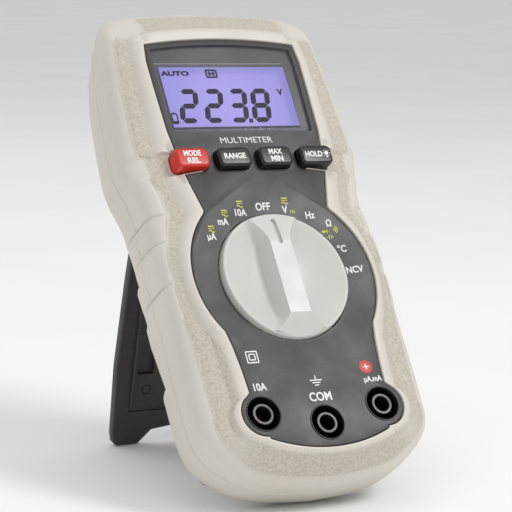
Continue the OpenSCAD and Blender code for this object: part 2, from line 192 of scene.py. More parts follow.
def moulded(name, dark, light, grain_mm, depth_mm, gloss, rubbed=None, coat=0.0, speckle=0.6):
    """Injection-moulded polymer: slow drift of tone, the mould's eroded grain, patchy shine and, where
    hands reach, edges rubbed to a lighter tone."""
    material, tree, shader, at = begin(name)
    drift = add(tree, NOISE, {"Vector": at, "Scale": per_metre(16), "Detail": 4})
    grain = add(tree, NOISE, {"Vector": at, "Scale": per_metre(grain_mm), "Detail": 2})
    shine = add(tree, NOISE, {"Vector": at, "Scale": per_metre(5), "Detail": 3})
    tone = add(tree, RAMP, {"Fac": drift}, ((0.32, dark), (0.68, light)))
    speck = add(tree, RAMP, {"Fac": grain}, ((0.34, 0.72), (0.62, 1.0)))
    tone = add(tree, MIX, {0: speckle, 6: tone, 7: speck}, data_type="RGBA", blend_type="MULTIPLY")
    if rubbed:
        edges = add(tree, "ShaderNodeNewGeometry", {}).outputs["Pointiness"]
        crests = add(tree, RAMP, {"Fac": edges}, ((0.53, 0.0), (0.62, 1.0)))
        wear = add(tree, MATH, {0: crests, 1: drift}, operation="MULTIPLY")
        tone = add(tree, MIX, {0: wear, 6: tone, 7: linear(rubbed)}, data_type="RGBA")
    rough = add(tree, RAMP, {"Fac": shine}, ((0.3, gloss - 0.06), (0.7, gloss + 0.07)))
    bump = add(tree, BUMP, {"Height": grain, "Strength": 0.7, "Distance": depth_mm * MM})
    wire(tree, shader, {"Base Color": tone, "Roughness": rough, "Normal": bump, "IOR": 1.52,
                        "Coat Weight": coat})
    return material


def casing_abs():
    """Warm grey moulded ABS: satin rims, and a coarse spark-eroded sand on the grip bands whose bumps break
    up the light; the bands are also painted darker, as the shade in the sand's pits.
    The sand is 0.35 mm where the real one is nearer 0.2, so that it shows. Painted shade darkens the hollows
    and a painted highlight lightens the crests."""
    material, tree, shader, at = begin("casing_moulded_abs_spark_textured")
    spark = add(tree, "ShaderNodeAttribute", {}, attribute_name="spark").outputs["Fac"]
    edges = add(tree, "ShaderNodeNewGeometry", {}).outputs["Pointiness"]
    drift = add(tree, NOISE, {"Vector": at, "Scale": per_metre(22), "Detail": 4})
    shine = add(tree, NOISE, {"Vector": at, "Scale": per_metre(4), "Detail": 3})
    fine = add(tree, NOISE, {"Vector": at, "Scale": per_metre(0.25), "Detail": 2})
    sand = add(tree, NOISE, {"Vector": at, "Scale": per_metre(0.35), "Detail": 3})
    plain = add(tree, RAMP, {"Fac": drift}, ((0.3, "#cdc7bb"), (0.7, "#d4cfc4")))
    # Grip bands: a random sand grain, and painted shade that darkens the whole band below the plain rims'
    # tone.
    sand_grain_and_painted_shade = add(tree, RAMP, {"Fac": sand}, ((0.34, "#b3ada0"), (0.6, "#c6c0b3")))
    tone = add(tree, MIX, {0: spark, 6: plain, 7: sand_grain_and_painted_shade}, data_type="RGBA")
    # Painted shade: where pointiness is low, in hollows, grooves and creases, the tone is darkened towards
    # #99948a.
    painted_hollow_shade = add(tree, RAMP, {"Fac": edges}, ((0.40, 0.8), (0.485, 0.0)))
    tone = add(tree, MIX, {0: painted_hollow_shade, 6: tone, 7: linear("#99948a")}, data_type="RGBA")
    # Painted highlight: where pointiness is high, on crests and rims, the tone is lightened towards #e4e0d7.
    crests = add(tree, RAMP, {"Fac": edges}, ((0.53, 0.0), (0.62, 0.55)))
    tone = add(tree, MIX, {0: crests, 6: tone, 7: linear("#e4e0d7")}, data_type="RGBA")
    satin = add(tree, RAMP, {"Fac": shine}, ((0.3, 0.42), (0.7, 0.52)))
    rough = add(tree, MIX, {0: spark, 6: satin, 7: (0.7, 0.7, 0.7, 1)}, data_type="RGBA")
    depth = add(tree, MATH, {0: spark, 1: 4.0}, operation="MULTIPLY")
    height = add(tree, MATH, {0: sand, 1: depth, 2: fine}, operation="MULTIPLY_ADD")
    bump = add(tree, BUMP, {"Height": height, "Strength": 0.8, "Distance": 0.03 * MM})
    wire(tree, shader, {"Base Color": tone, "Roughness": rough, "Normal": bump, "IOR": 1.53})
    return material


def lit_display():
    """Liquid crystal glass over a violet light guide: an even glow, a little brighter in the middle,
    with the faint speckle of the rear polariser."""
    material, tree, shader, at = begin("liquid_crystal_glass_violet_backlight")
    centred = add(tree, MAPPING, {"Vector": at, "Location": -(METER @ middle("lcd_glass"))})
    away = add(tree, "ShaderNodeVectorMath", {0: centred}, operation="LENGTH").outputs["Value"]
    share = add(tree, MATH, {0: away, 1: 1 / (26 * MM)}, operation="MULTIPLY")
    speckle = add(tree, NOISE, {"Vector": at, "Scale": per_metre(0.3), "Detail": 2})
    shine = add(tree, NOISE, {"Vector": at, "Scale": per_metre(8), "Detail": 3})
    glow = add(tree, RAMP, {"Fac": share}, ((0.15, "#a8a1ea"), (1.0, "#948dda")))
    mottle = add(tree, RAMP, {"Fac": speckle}, ((0.3, 0.93), (0.7, 1.0)))
    glow = add(tree, MIX, {0: 1.0, 6: glow, 7: mottle}, data_type="RGBA", blend_type="MULTIPLY")
    rough = add(tree, RAMP, {"Fac": shine}, ((0.3, 0.22), (0.7, 0.30)))
    bump = add(tree, BUMP, {"Height": speckle, "Strength": 0.5, "Distance": 0.004 * MM})
    wire(tree, shader, {"Base Color": linear("#3a3760"), "Emission Color": glow, "Emission Strength": 0.86,
                        "Roughness": rough, "Normal": bump, "Specular IOR Level": 0.2})
    return material


def clear_window():
    """Cast acrylic window: all but unseen, save for its shine and a few wipe marks."""
    material, tree, shader, at = begin("display_window_cast_acrylic")
    wiped = add(tree, MAPPING, {"Vector": at, "Scale": (1, 6, 6)})
    marks = add(tree, NOISE, {"Vector": wiped, "Scale": per_metre(6), "Detail": 3})
    ripple = add(tree, NOISE, {"Vector": at, "Scale": per_metre(30), "Detail": 1})
    tint = add(tree, RAMP, {"Fac": marks}, ((0.3, "#d5d6ea"), (0.7, "#e2e3f4")))
    rough = add(tree, RAMP, {"Fac": marks}, ((0.35, 0.05), (0.7, 0.13)))
    bump = add(tree, BUMP, {"Height": ripple, "Strength": 0.3, "Distance": 0.01 * MM})
    wire(tree, shader, {"Base Color": tint, "Roughness": rough, "Normal": bump, "Alpha": 0.035, "IOR": 1.49})
    return material


def printed(name, colour, shine_level=0.5):
    """Pad-printed ink: flat and a little chalky, so thin that the grain below shows through."""
    material, tree, shader, at = begin(name)
    pores = add(tree, NOISE, {"Vector": at, "Scale": per_metre(0.35), "Detail": 3})
    shine = add(tree, NOISE, {"Vector": at, "Scale": per_metre(2), "Detail": 3})
    cover = add(tree, RAMP, {"Fac": pores}, ((0.28, 0.84), (0.5, 1.0)))
    tone = add(tree, MIX, {0: 1.0, 6: linear(colour), 7: cover}, data_type="RGBA", blend_type="MULTIPLY")
    rough = add(tree, RAMP, {"Fac": shine}, ((0.3, 0.42), (0.7, 0.58)))
    bump = add(tree, BUMP, {"Height": pores, "Strength": 0.5, "Distance": 0.006 * MM})
    wire(tree, shader, {"Base Color": tone, "Roughness": rough, "Normal": bump,
                        "Specular IOR Level": shine_level})
    return material


def worked_metal(name, dark, light, gloss, mark_mm, stretch):
    """Bare or plated metal: tone patches, and tool marks drawn out along the axis with least stretch."""
    material, tree, shader, at = begin(name)
    drawn = add(tree, MAPPING, {"Vector": at, "Scale": stretch})
    patches = add(tree, NOISE, {"Vector": at, "Scale": per_metre(3), "Detail": 4})
    marks = add(tree, NOISE, {"Vector": drawn, "Scale": per_metre(mark_mm), "Detail": 4})
    tone = add(tree, RAMP, {"Fac": patches}, ((0.3, dark), (0.7, light)))
    rough = add(tree, RAMP, {"Fac": marks}, ((0.3, gloss - 0.08), (0.7, gloss + 0.1)))
    bump = add(tree, BUMP, {"Height": marks, "Strength": 0.7, "Distance": 0.01 * MM})
    wire(tree, shader, {"Base Color": tone, "Roughness": rough, "Normal": bump, "Metallic": 1.0})
    return material


def resist_board():
    """Woven glass laminate under green solder resist: the weave shows as a faint 0.5 mm check, and
    copper tracks lift the lacquer in lighter lines."""
    material, tree, shader, at = begin("circuit_board_green_solder_resist")
    weave = add(tree, "ShaderNodeTexChecker", {"Vector": at, "Scale": 1 / (0.5 * MM)}).outputs["Fac"]
    tracks = add(tree, "ShaderNodeTexBrick", {"Vector": at, "Scale": 1 / (9 * MM), "Mortar Size": 0.03,
                                              "Color1": (0, 0, 0, 1), "Color2": (0, 0, 0, 1),
                                              "Mortar": (1, 1, 1, 1)}).outputs["Color"]
    patches = add(tree, NOISE, {"Vector": at, "Scale": per_metre(6), "Detail": 3})
    tone = add(tree, RAMP, {"Fac": patches}, ((0.3, "#215a37"), (0.7, "#2f7048")))
    tone = add(tree, MIX, {0: tracks, 6: tone, 7: linear("#4c9163")}, data_type="RGBA")
    check = add(tree, RAMP, {"Fac": weave}, ((0.0, 0.1), (1.0, 0.5)))
    tone = add(tree, MIX, {0: 0.12, 6: tone, 7: check}, data_type="RGBA")
    rough = add(tree, RAMP, {"Fac": patches}, ((0.3, 0.24), (0.7, 0.36)))
    height = add(tree, MATH, {0: tracks, 1: weave}, operation="ADD")
    bump = add(tree, BUMP, {"Height": height, "Strength": 0.7, "Distance": 0.03 * MM})
    wire(tree, shader, {"Base Color": tone, "Roughness": rough, "Normal": bump})
    return material


def painted_floor():
    """Matt white studio paint with a trace of roller stipple."""
    material, tree, shader, at = begin("studio_floor_matt_paint")
    drift = add(tree, NOISE, {"Vector": at, "Scale": per_metre(60), "Detail": 3})
    stipple = add(tree, NOISE, {"Vector": at, "Scale": per_metre(2), "Detail": 3})
    tone = add(tree, RAMP, {"Fac": drift}, ((0.3, "#f6f6f6"), (0.7, "#fafafa")))
    bump = add(tree, BUMP, {"Height": stipple, "Strength": 0.2, "Distance": 0.02 * MM})
    wire(tree, shader, {"Base Color": tone, "Roughness": 0.85, "Normal": bump})
    return material


CASING = casing_abs()
# Dark inlay: fine matt grain that greys the surface where the light rakes it.
PANEL = moulded("panel_inlay_moulded_abs_matt", "#333132", "#3b3839", 0.45, 0.03, 0.44)
# The window's printed border is the same tone under clear gloss.
BORDER = moulded("window_border_back_printed_acrylic", "#3c393a", "#434041", 0.8, 0.004, 0.20, coat=0.3)
# Knob: pale cool grey ABS with a satin sheen, edges a shade lighter from handling.
KNOB = moulded("knob_moulded_abs_satin", "#cbcbc6", "#d1d1cc", 0.3, 0.006, 0.34, "#e6e6e2", speckle=0.12)
# Key caps: close-grained and smooth to the touch, so they shine more than the inlay.
RED_CAP = moulded("key_cap_red_abs_satin", "#c4200f", "#d8301b", 0.25, 0.010, 0.30, "#f0705c")
BLACK_CAP = moulded("key_cap_black_abs_satin", "#100f0f", "#181717", 0.25, 0.010, 0.30, "#343232")
# Stand: waxy polypropylene, matt from a heavy mould grain.
STAND_PP = moulded("stand_moulded_polypropylene_matt", "#2d2b2c", "#373536", 0.4, 0.03, 0.5, "#4d4a4b")
# Socket linings: black nylon in shade, and a paler ring on the post's end, a painted highlight where it
# catches the light.
SOCKET_BLACK = moulded("socket_liner_black_nylon", "#070607", "#0e0d0e", 0.3, 0.012, 0.42)
POST_END_PAINTED_HIGHLIGHT = moulded("socket_post_end_painted_highlight", "#454344", "#524f50", 0.3, 0.012, 0.38, "#6b6969")
# Inner parts: dull natural acetal, black polycarbonate, milky acrylic, sooty elastomer and dull silicone.
ACETAL = moulded("switch_parts_natural_acetal", "#dcd6c8", "#e9e4d8", 0.3, 0.01, 0.34)
FRAME_BLACK = moulded("display_frame_black_polycarbonate", "#1a1a1b", "#262627", 0.3, 0.012, 0.4)
GUIDE = moulded("light_guide_milky_acrylic", "#dcdcf2", "#ecebff", 0.5, 0.01, 0.3)
RUBBER = moulded("seal_strip_black_elastomer", "#181818", "#242424", 0.5, 0.03, 0.75)
SILICONE = moulded("keypad_grey_silicone", "#84868a", "#94969a", 0.5, 0.02, 0.6)
# Chips, glazed fuse tubes and the foil-printed jackets of the cells.
CHIP = moulded("component_body_black_epoxy", "#1c1e21", "#282b2f", 0.25, 0.02, 0.55)
CERAMIC = moulded("fuse_tube_glazed_ceramic", "#e2ded3", "#eeeae0", 0.6, 0.006, 0.2, coat=0.4)
JACKET = moulded("dry_cell_printed_film_jacket", "#2f343b", "#454b54", 0.6, 0.006, 0.28, coat=0.3)
# Metals: turned brass, zinc-plated steel and drawn resistance wire.
BRASS = worked_metal("contact_turned_brass", "#b08c3f", "#d6b15c", 0.28, 0.12, (1, 1, 8))
STEEL = worked_metal("hardware_zinc_plated_steel", "#9d9e9f", "#c3c4c4", 0.3, 0.15, (1, 6, 1))
COPPER = worked_metal("shunt_drawn_resistance_wire", "#a56a3c", "#c98a58", 0.3, 0.1, (6, 1, 1))
BOARD = resist_board()
DISPLAY = lit_display()
WINDOW = clear_window()
WHITE_INK = printed("ink_white_pad_print", "#ececea")
YELLOW_INK = printed("ink_yellow_pad_print", "#c9cc3a")
# Painted highlights: light-grey strips for the window's top and bottom edges, made like print.
WINDOW_EDGE_HIGHLIGHT_PAINT = printed("window_edge_painted_highlight", "#8d8a90")
RED_INK = printed("ink_red_pad_print", "#c8372b")
SEGMENT_INK = printed("liquid_crystal_segment_dark", "#0a0a1c", shine_level=0.05)


# --- shaping ------------------------------------------------------------------------------------
SMOOTH_ANGLE = math.radians(32)


def finished(name, bm, material, place=METER, body=None, replaces=(), smooth=True):
    """Turns a bmesh in millimetres into a piece in the row frame that rides on a body."""
    bmesh.ops.transform(bm, matrix=place, verts=bm.verts)
    mesh = bpy.data.meshes.new(name)
    bm.to_mesh(mesh)
    bm.free()
    mesh.polygons.foreach_set("use_smooth", [smooth] * len(mesh.polygons))
    if smooth:
        mesh.set_sharp_from_angle(angle=SMOOTH_ANGLE)
    for item in material if isinstance(material, (list, tuple)) else [material]:
        mesh.materials.append(item)
    piece = bpy.data.objects.new(name, mesh)
    bpy.context.scene.collection.objects.link(piece)
    if body:
        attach(piece, body)
    if replaces:
        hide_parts(*replaces)
    return piece


def climb_to(low, high, value):
    """0 up to low, 1 from high on, and a straight line between."""
    return min(1.0, max(0.0, (value - low) / (high - low)))


def smoothstep(low, high, value):
    t = climb_to(low, high, value)
    return t * t * (3 - 2 * t)


def blend(a, b, share):
    return a + (b - a) * share


def ring_of(bm, points):
    """A closed ring of vertices and edges."""
    ring = [bm.verts.new(p) for p in points]
    for a, b in zip(ring, ring[1:] + ring[:1]):
        bm.edges.new((a, b))
    return ring


def next_ring(bm, ring, points):
    """Extrudes a ring and moves the new one to its points."""
    edges = [bm.edges.get(pair) for pair in zip(ring, ring[1:] + ring[:1])]
    made = bmesh.ops.extrude_edge_only(bm, edges=edges)["geom"]
    fresh = {v for v in made if isinstance(v, bmesh.types.BMVert)}
    following = [next(e.other_vert(v) for e in v.link_edges if e.other_vert(v) in fresh) for v in ring]
    for vertex, point in zip(following, points):
        vertex.co = point
    return following


def settle(bm, gap=1e-4):
    """Merges doubles and turns every face outwards."""
    bmesh.ops.remove_doubles(bm, verts=bm.verts, dist=gap)
    bmesh.ops.recalc_face_normals(bm, faces=bm.faces)


def lofted(rings, marks=None):
    """A skin through rings of equal count, the last one lying on the first. marks holds the spark
    texture's share for each ring's points."""
    bm = bmesh.new()
    layer = bm.verts.layers.float.new("spark") if marks else None
    ring = ring_of(bm, rings[0])
    for index, points in enumerate(rings):
        if index:
            ring = next_ring(bm, ring, points)
        if marks:
            for vertex, mark in zip(ring, marks[index]):
                vertex[layer] = mark
    settle(bm)
    return bm


def turned(profile, steps=72):
    """A closed profile of (radius, height) pairs spun about Z."""
    bm = bmesh.new()
    ring = ring_of(bm, [(r, 0, z) for r, z in profile])
    edges = [bm.edges.get(pair) for pair in zip(ring, ring[1:] + ring[:1])]
    bmesh.ops.spin(bm, geom=[*ring, *edges], cent=(0, 0, 0), axis=(0, 0, 1), angle=math.tau, steps=steps,
                   use_merge=True)
    settle(bm)
    return bm


def rounded_outline(width, height, radius, steps=8):
    """Points of a rounded rectangle, anticlockwise from its right side."""
    points = []
    for quarter, (sx, sy) in enumerate(((1, 1), (-1, 1), (-1, -1), (1, -1))):
        for i in range(steps + 1):
            a = math.radians(90 * (quarter + i / steps))
            points.append(Vector((sx * (width / 2 - radius) + radius * math.cos(a),
                                  sy * (height / 2 - radius) + radius * math.sin(a), 0)))
    return points


def prism(outline, low, high, top_round=0.0, foot_round=0.0, segments=4):
    """An outline extruded between two heights, with its rims rounded over."""
    bm = bmesh.new()
    face = bm.faces.new([bm.verts.new((p[0], p[1], low)) for p in outline])
    made = bmesh.ops.extrude_face_region(bm, geom=[face])["geom"]
    lifted = [v for v in made if isinstance(v, bmesh.types.BMVert)]
    bmesh.ops.translate(bm, verts=lifted, vec=(0, 0, high - low))
    bmesh.ops.recalc_face_normals(bm, faces=bm.faces)
    for height, size in ((high, top_round), (low, foot_round)):
        if size:
            rim = [e for e in bm.edges if all(abs(v.co.z - height) < 1e-5 for v in e.verts)]
            bmesh.ops.bevel(bm, geom=rim, offset=size, segments=segments, profile=0.5,
                            affect="EDGES", material=-1)
    return bm


def moved(bm, at):
    bmesh.ops.translate(bm, verts=bm.verts, vec=at)
    return bm


def joined(bms):
    """Several bmeshes as one."""
    whole = bmesh.new()
    for bm in bms:
        mesh = bpy.data.meshes.new("part")
        bm.to_mesh(mesh)
        bm.free()
        whole.from_mesh(mesh)
        bpy.data.meshes.remove(mesh)
    return whole


def slab(low, high):
    """A plain box between two corners, used as a cutter or a rib."""
    bm = bmesh.new()
    bmesh.ops.create_cube(bm, size=1)
    span = Vector(high) - Vector(low)
    bmesh.ops.scale(bm, vec=span, verts=bm.verts)
    return moved(bm, (Vector(high) + Vector(low)) / 2)


def rod(radius, low, high, at=(0, 0), segments=64):
    bm = bmesh.new()
    bmesh.ops.create_cone(bm, cap_ends=True, segments=segments, radius1=radius, radius2=radius,
                          depth=high - low)
    return moved(bm, (at[0], at[1], (low + high) / 2))


def carved(bm, cutters):
    """The bmesh with each cutter taken away."""
    body_mesh = bpy.data.meshes.new("body")
    bm.to_mesh(body_mesh)
    bm.free()
    body = bpy.data.objects.new("body", body_mesh)
    bpy.context.scene.collection.objects.link(body)
    tools = []
    for cutter in cutters:
        mesh = bpy.data.meshes.new("cutter")
        bmesh.ops.recalc_face_normals(cutter, faces=cutter.faces)
        cutter.to_mesh(mesh)
        cutter.free()
        tool = bpy.data.objects.new("cutter", mesh)
        bpy.context.scene.collection.objects.link(tool)
        tools.append(tool)
        modifier = body.modifiers.new("cut", "BOOLEAN")
        modifier.operation = "DIFFERENCE"
        modifier.solver = "EXACT"
        modifier.object = tool
    graph = bpy.context.evaluated_depsgraph_get()
    result = bmesh.new()
    result.from_mesh(body.evaluated_get(graph).data)
    for item in [*tools, body]:
        bpy.data.objects.remove(item)
    bmesh.ops.remove_doubles(result, verts=result.verts, dist=1e-4)
    return result


# --- outlines traced from the CAD shells --------------------------------------------------------
# Spokes leave a short spine on the meter's centre line: level ones along its sides, fans at its ends.
HIGH_HUB = 60
LOW_HUB = -25
FAR = 90
SIDE_STEP = 1.0
FAN_STEPS = 200
# No shell comes nearer to a hub than this, so a shorter spoke has missed its edge.
NEAREST = 10
# A screw well's width in spokes, filled where it breaks through a back edge.
WELL_STEPS = 6
GROOVE_YS = (22, 13.5, 0.6)
GROOVE_HALF = 0.75


def spoke_list():
    ys = []
    y = LOW_HUB
    while y < HIGH_HUB - SIDE_STEP / 2:
        ys.append(y)
        y += SIDE_STEP * (0.34 if min(abs(y - g) for g in GROOVE_YS) < 2 * GROOVE_HALF else 1)
    made = [(Vector((0, y, 0)), Vector((1, 0, 0))) for y in ys]
    for i in range(FAN_STEPS):
        a = math.pi * i / FAN_STEPS
        made.append((Vector((0, HIGH_HUB, 0)), Vector((math.cos(a), math.sin(a), 0))))
    made += [(Vector((0, y, 0)), Vector((-1, 0, 0))) for y in [HIGH_HUB, *reversed(ys[1:])]]
    for i in range(FAN_STEPS):
        a = math.pi * (1 + i / FAN_STEPS)
        made.append((Vector((0, LOW_HUB, 0)), Vector((math.cos(a), math.sin(a), 0))))
    return made


SPOKES = spoke_list()
COUNT = len(SPOKES)


def around(values, i, n):
    return [values[(i + k) % COUNT] for k in range(-n, n + 1)]


def closed(reach, width):
    """A ring of distances with dips narrower than width neighbours filled."""
    filled = [max(around(reach, i, width)) for i in range(COUNT)]
    return [min(around(filled, i, width)) for i in range(COUNT)]


def eased(reach, width):
    """A ring of distances, filled and then smoothed over width neighbours."""
    filled = closed(reach, width)
    weights = [math.exp(-2 * (k / width) ** 2) for k in range(-width, width + 1)]
    return [sum(w * v for w, v in zip(weights, around(filled, i, width))) / sum(weights)
            for i in range(COUNT)]


def trace(node, height, width=0):
    """How far each spoke runs before it leaves a CAD node at a height above the face."""
    mesh = frame["nodes"][node].data
    skin = BVHTree.FromPolygons([v.co for v in mesh.vertices], [p.vertices for p in mesh.polygons])
    reach = []
    for hub, way in SPOKES:
        begin_at = METER @ (hub + way * FAR + Vector((0, 0, height)))
        distance = skin.ray_cast(begin_at, -(TURN @ way))[3]
        reach.append(FAR - distance / MM)
    for i in range(COUNT):
        if reach[i] < NEAREST:
            reach[i] = reach[i - 1]
    if not width:
        return reach
    filled = closed(reach, WELL_STEPS)
    smooth = eased(filled, width)
    return [smooth[i] if abs(SPOKES[i][1].x) == 1 else filled[i] for i in range(COUNT)]


def on_spoke(i, reach, height):
    hub, way = SPOKES[i]
    return hub + way * reach + Vector((0, 0, height))


PANEL_EDGE = trace("front_panel", -1)
WIDEST = trace("front_case", -7.6, 5)
SEAM_EDGE = trace("front_case", -13.2, 5)
SEAM = -13.5
SEAM_GAP = 0.09
WALL = 2.6


def end_weights():
    """How much of the top's and of the bottom's section each spoke takes."""
    tops, bottoms = [], []
    for hub, way in SPOKES:
        tops.append(smoothstep(0.53, 0.70, way.y) if hub.y == HIGH_HUB else 0)
        bottoms.append(smoothstep(0.50, 0.82, -way.y) if hub.y == LOW_HUB else 0)
    return tops, bottoms


TOPS, BOTTOMS = end_weights()
# Section of the front shell from the panel's rim to the side wall: share of the way out, and height
# on the sides, at the top end and at the bottom end.
SECTION = (
    (0.10, 0.32, 0.42, 0.30), (0.17, 0.16, 0.62, 0.02), (0.24, -0.36, 0.66, -0.45),
    (0.29, -0.92, 0.34, -0.95), (0.32, -1.35, 0.02, -1.25), (0.34, -1.68, -0.18, -1.5),
    (0.37, -1.84, -0.42, -1.85), (0.44, -1.98, -0.9, -2.6), (0.51, -2.12, -1.35, -3.4),
    (0.58, -2.32, -1.85, -4.2), (0.64, -2.58, -2.3, -4.9), (0.68, -2.86, -2.65, -5.4),
    (0.70, -2.80, -2.85, -5.6), (0.73, -2.84, -3.1, -5.95), (0.78, -3.12, -3.6, -6.55),
    (0.83, -3.55, -4.15, -7.2), (0.88, -4.2, -4.85, -7.9), (0.92, -4.95, -5.5, -8.5),
    (0.955, -5.8, -6.2, -9.05), (0.98, -6.7, -6.9, -9.6), (1.0, -8.0, -8.0, -10.3))
# The seat round the panel: distance out from the panel's edge, and height.
SEAT = ((-1.6, -2.0), (0.24, -2.0), (0.26, -1.9), (0.26, -0.05), (0.32, 0.2), (0.46, 0.34), (0.75, 0.38))
# The side wall: share of the way from the widest outline to the seam's, and height.
SIDE_WALL = ((0.15, -9.4), (0.3, -10.9), (0.6, -12.0), (0.9, -12.9), (1.0, SEAM + SEAM_GAP + 0.12))
FOOT_WALL_TOP = -10.4
# Edges of the sand-textured bands as shares of the way out.
BAND_IN, BAND_LOW_IN, BAND_OUT, BAND_WAIST_OUT = 0.35, 0.21, 0.77, 0.62
# Hand pads on the shoulders: lowest and highest point along the meter.
PADS = ((15.6, 21.4), (3.4, 12.9), (-9.0, 0.0))
# A round scoop beside each outer key: its radius, centre out from the middle, floor and rise to its rim.
SCOOP_R, SCOOP_X, SCOOP_FLOOR, SCOOP_RISE = 7.6, 20.6, -1.5, 1.15
CAP_CREASE = (Vector((24.3, 76)), Vector((23, 88)))
CREASE_DEEP, CREASE_HALF = 0.75, 1.1
RIB = (Vector((-25.8, -14.8)), Vector((-32.7, -22.4)))
RIB_HIGH, RIB_HALF = 0.5, 0.9


KEY_ROW_Y = middle("button_hold").y


def off_line(p, a, b):
    """Distance of a point from the stretch between a and b, in the plane of the face."""
    ab = b - a
    t = min(1.0, max(0.0, (p - a).dot(ab) / ab.dot(ab)))
    return (p - a - ab * t).length


def notch(distance, half):
    """Depth share of a soft V: 1 on its line, 0 beyond half."""
    return max(0.0, 1 - abs(distance) / half) ** 1.3


def shell_height(point, height):
    """The front shell's height after its scoops, creases and ribs."""
    flat = Vector((abs(point.x), point.y))
    away = (flat - Vector((SCOOP_X, KEY_ROW_Y))).length
    if away < SCOOP_R:
        height = min(height, SCOOP_FLOOR + SCOOP_RISE * (away / SCOOP_R) ** 2)
    height -= CREASE_DEEP * notch(off_line(flat, *CAP_CREASE), CREASE_HALF)
    rib = min(off_line(Vector((s * point.x, point.y)), *RIB) for s in (1, -1))
    return height + RIB_HIGH * notch(rib, RIB_HALF)


def pad_lift(y, share):
    """How far the hand pads stand out of the shoulder, less the grooves between them."""
    inside = max(smoothstep(low - 0.35, low + 0.35, y) * (1 - smoothstep(high - 0.35, high + 0.35, y))
                 for low, high in PADS)
    groove = max(notch(y - g, GROOVE_HALF) for g in GROOVE_YS)
    on = smoothstep(0.68, 0.74, share)
    return (0.34 * inside - 0.62 * groove) * on


def spark_share(i, point, share):
    """Where the coarse spark texture lies on the front shell."""
    low = 1 - smoothstep(-21, -15, point.y)
    inner = blend(BAND_IN, BAND_LOW_IN, low)
    outer = blend(BAND_OUT, BAND_WAIST_OUT, smoothstep(-12, -8, point.y) * (1 - smoothstep(28, 36, point.y)))
    side = smoothstep(inner - 0.02, inner + 0.01, share) * (1 - smoothstep(outer - 0.01, outer + 0.01, share))
    upper = 1 - smoothstep(78, 80.5, point.y)
    cap = smoothstep(0.26, 0.30, share) * (1 - smoothstep(0.80, 0.86, share))
    foot = smoothstep(0.16, 0.22, share) * (1 - smoothstep(0.72, 0.80, share))
    on_cap = cap if abs(point.x) < 22.6 else 0
    value = side * upper * (1 - TOPS[i]) + on_cap * TOPS[i]
    return max(value * (1 - BOTTOMS[i]), foot * BOTTOMS[i])


def front_rings():
    """Rings of the front shell, from the seat under the panel, over the face, down to the seam and back."""
    rings, marks = [], []

    def ring(reach_of, height_of, mark=0.0):
        rings.append([on_spoke(i, reach_of(i), height_of(i)) for i in range(COUNT)])
        marks.append([mark] * COUNT)

    edge = PANEL_EDGE
    for out, height in SEAT:
        ring(lambda i, out=out: edge[i] + out, lambda i, height=height: height)
    for share, side, top, bottom in SECTION:
        points, shares = [], []
        for i in range(COUNT):
            height = blend(blend(side, top, TOPS[i]), bottom, BOTTOMS[i])
            reach = blend(edge[i] + 0.2, WIDEST[i], share)
            flat = on_spoke(i, reach, height)
            lift = pad_lift(flat.y, share)
            climb = smoothstep(0.80, 1.0, share)
            height = shell_height(flat, height) + lift * (1 - climb)
            points.append(on_spoke(i, reach + lift * climb, height))
            shares.append(spark_share(i, flat, share))
        rings.append(points)
        marks.append(shares)
    for share, height in SIDE_WALL:
        points = []
        for i in range(COUNT):
            reach = blend(WIDEST[i], SEAM_EDGE[i], share)
            lift = pad_lift(SPOKES[i][0].y, 1) if abs(SPOKES[i][1].x) == 1 else 0
            low = min(height, FOOT_WALL_TOP) if BOTTOMS[i] > 0.5 else height
            points.append(on_spoke(i, reach + lift, low))
        rings.append(points)
        marks.append([0.0] * COUNT)
    ring(lambda i: SEAM_EDGE[i] - SEAM_CHAMFER, lambda i: SEAM + SEAM_GAP)
    ring(lambda i: SEAM_EDGE[i] - WALL + 0.1, lambda i: SEAM + SEAM_GAP)
    ring(lambda i: SEAM_EDGE[i] - WALL, lambda i: SEAM + SEAM_GAP + 0.1)
    ring(lambda i: WIDEST[i] - WALL, lambda i: -11.6)
    ring(lambda i: blend(edge[i], WIDEST[i], 0.6), lambda i: blend(-5.6, -8.2, BOTTOMS[i]))
    ring(lambda i: edge[i] - 1.5, lambda i: -4.2)
    ring(lambda i: edge[i] - 1.6, lambda i: -2.0)
    return rings, marks


def add_front_casing():
    """The front shell, cut away where the two outer keys pass its rim."""
    rings, marks = front_rings()
    ends = [key_cutter(node, 0.25) for node in ("button_mode", "button_hold")]
    bm = carved(lofted(rings, marks), ends)
    finished("front_casing", bm, CASING, body="meter", replaces=["front_case"])


# --- rear shell ---------------------------------------------------------------------------------
# Grips on the back edge: where each starts along the meter, how far in it goes, and how long it runs.
STEP_YS = (8.0, -3.0, -23.5)
STEP_IN = (1.5, 0.7, 1.7)
STEP_RUN = 15


def saw_tooth(y):
    """The grips on the back edge: drawn in bit by bit up the meter, then stepping out again."""
    return max(inward * (1 - smoothstep(-0.6, 0.9, at - y)) * (1 - (y - at) / STEP_RUN)
               if 0 <= y - at + 0.6 < STEP_RUN else 0 for at, inward in zip(STEP_YS, STEP_IN))


REAR_HEIGHTS = (-16, -18, -20, -21.5, -23, -24, -25, -25.8, -26.6, -27.3, -27.75, -28.0)
TRACED_HEIGHTS = (-13.8, -16, -20, -23, -25, -26.6, -27.3, -27.95)
DOOR_GAP = 0.15
BACK = REAR_HEIGHTS[-1]
# The seam's narrow chamfer, and the draft of the wall inside.
SEAM_CHAMFER = 0.14
INNER_DRAFT = 1.2
# The stand's bed runs from the pivot this far down and up the meter.
BED_DOWN, BED_UP = 88, 5
# The stand's pins reach this far past its bed's sides.
PIN_REACH = 2.1
# Wells of the upper case screws: radius, floor, and centre across and below the screws' top.
WELL_R, WELL_FLOOR, WELL_X, WELL_BELOW = 2.6, -25.4, 28.2, 2.4


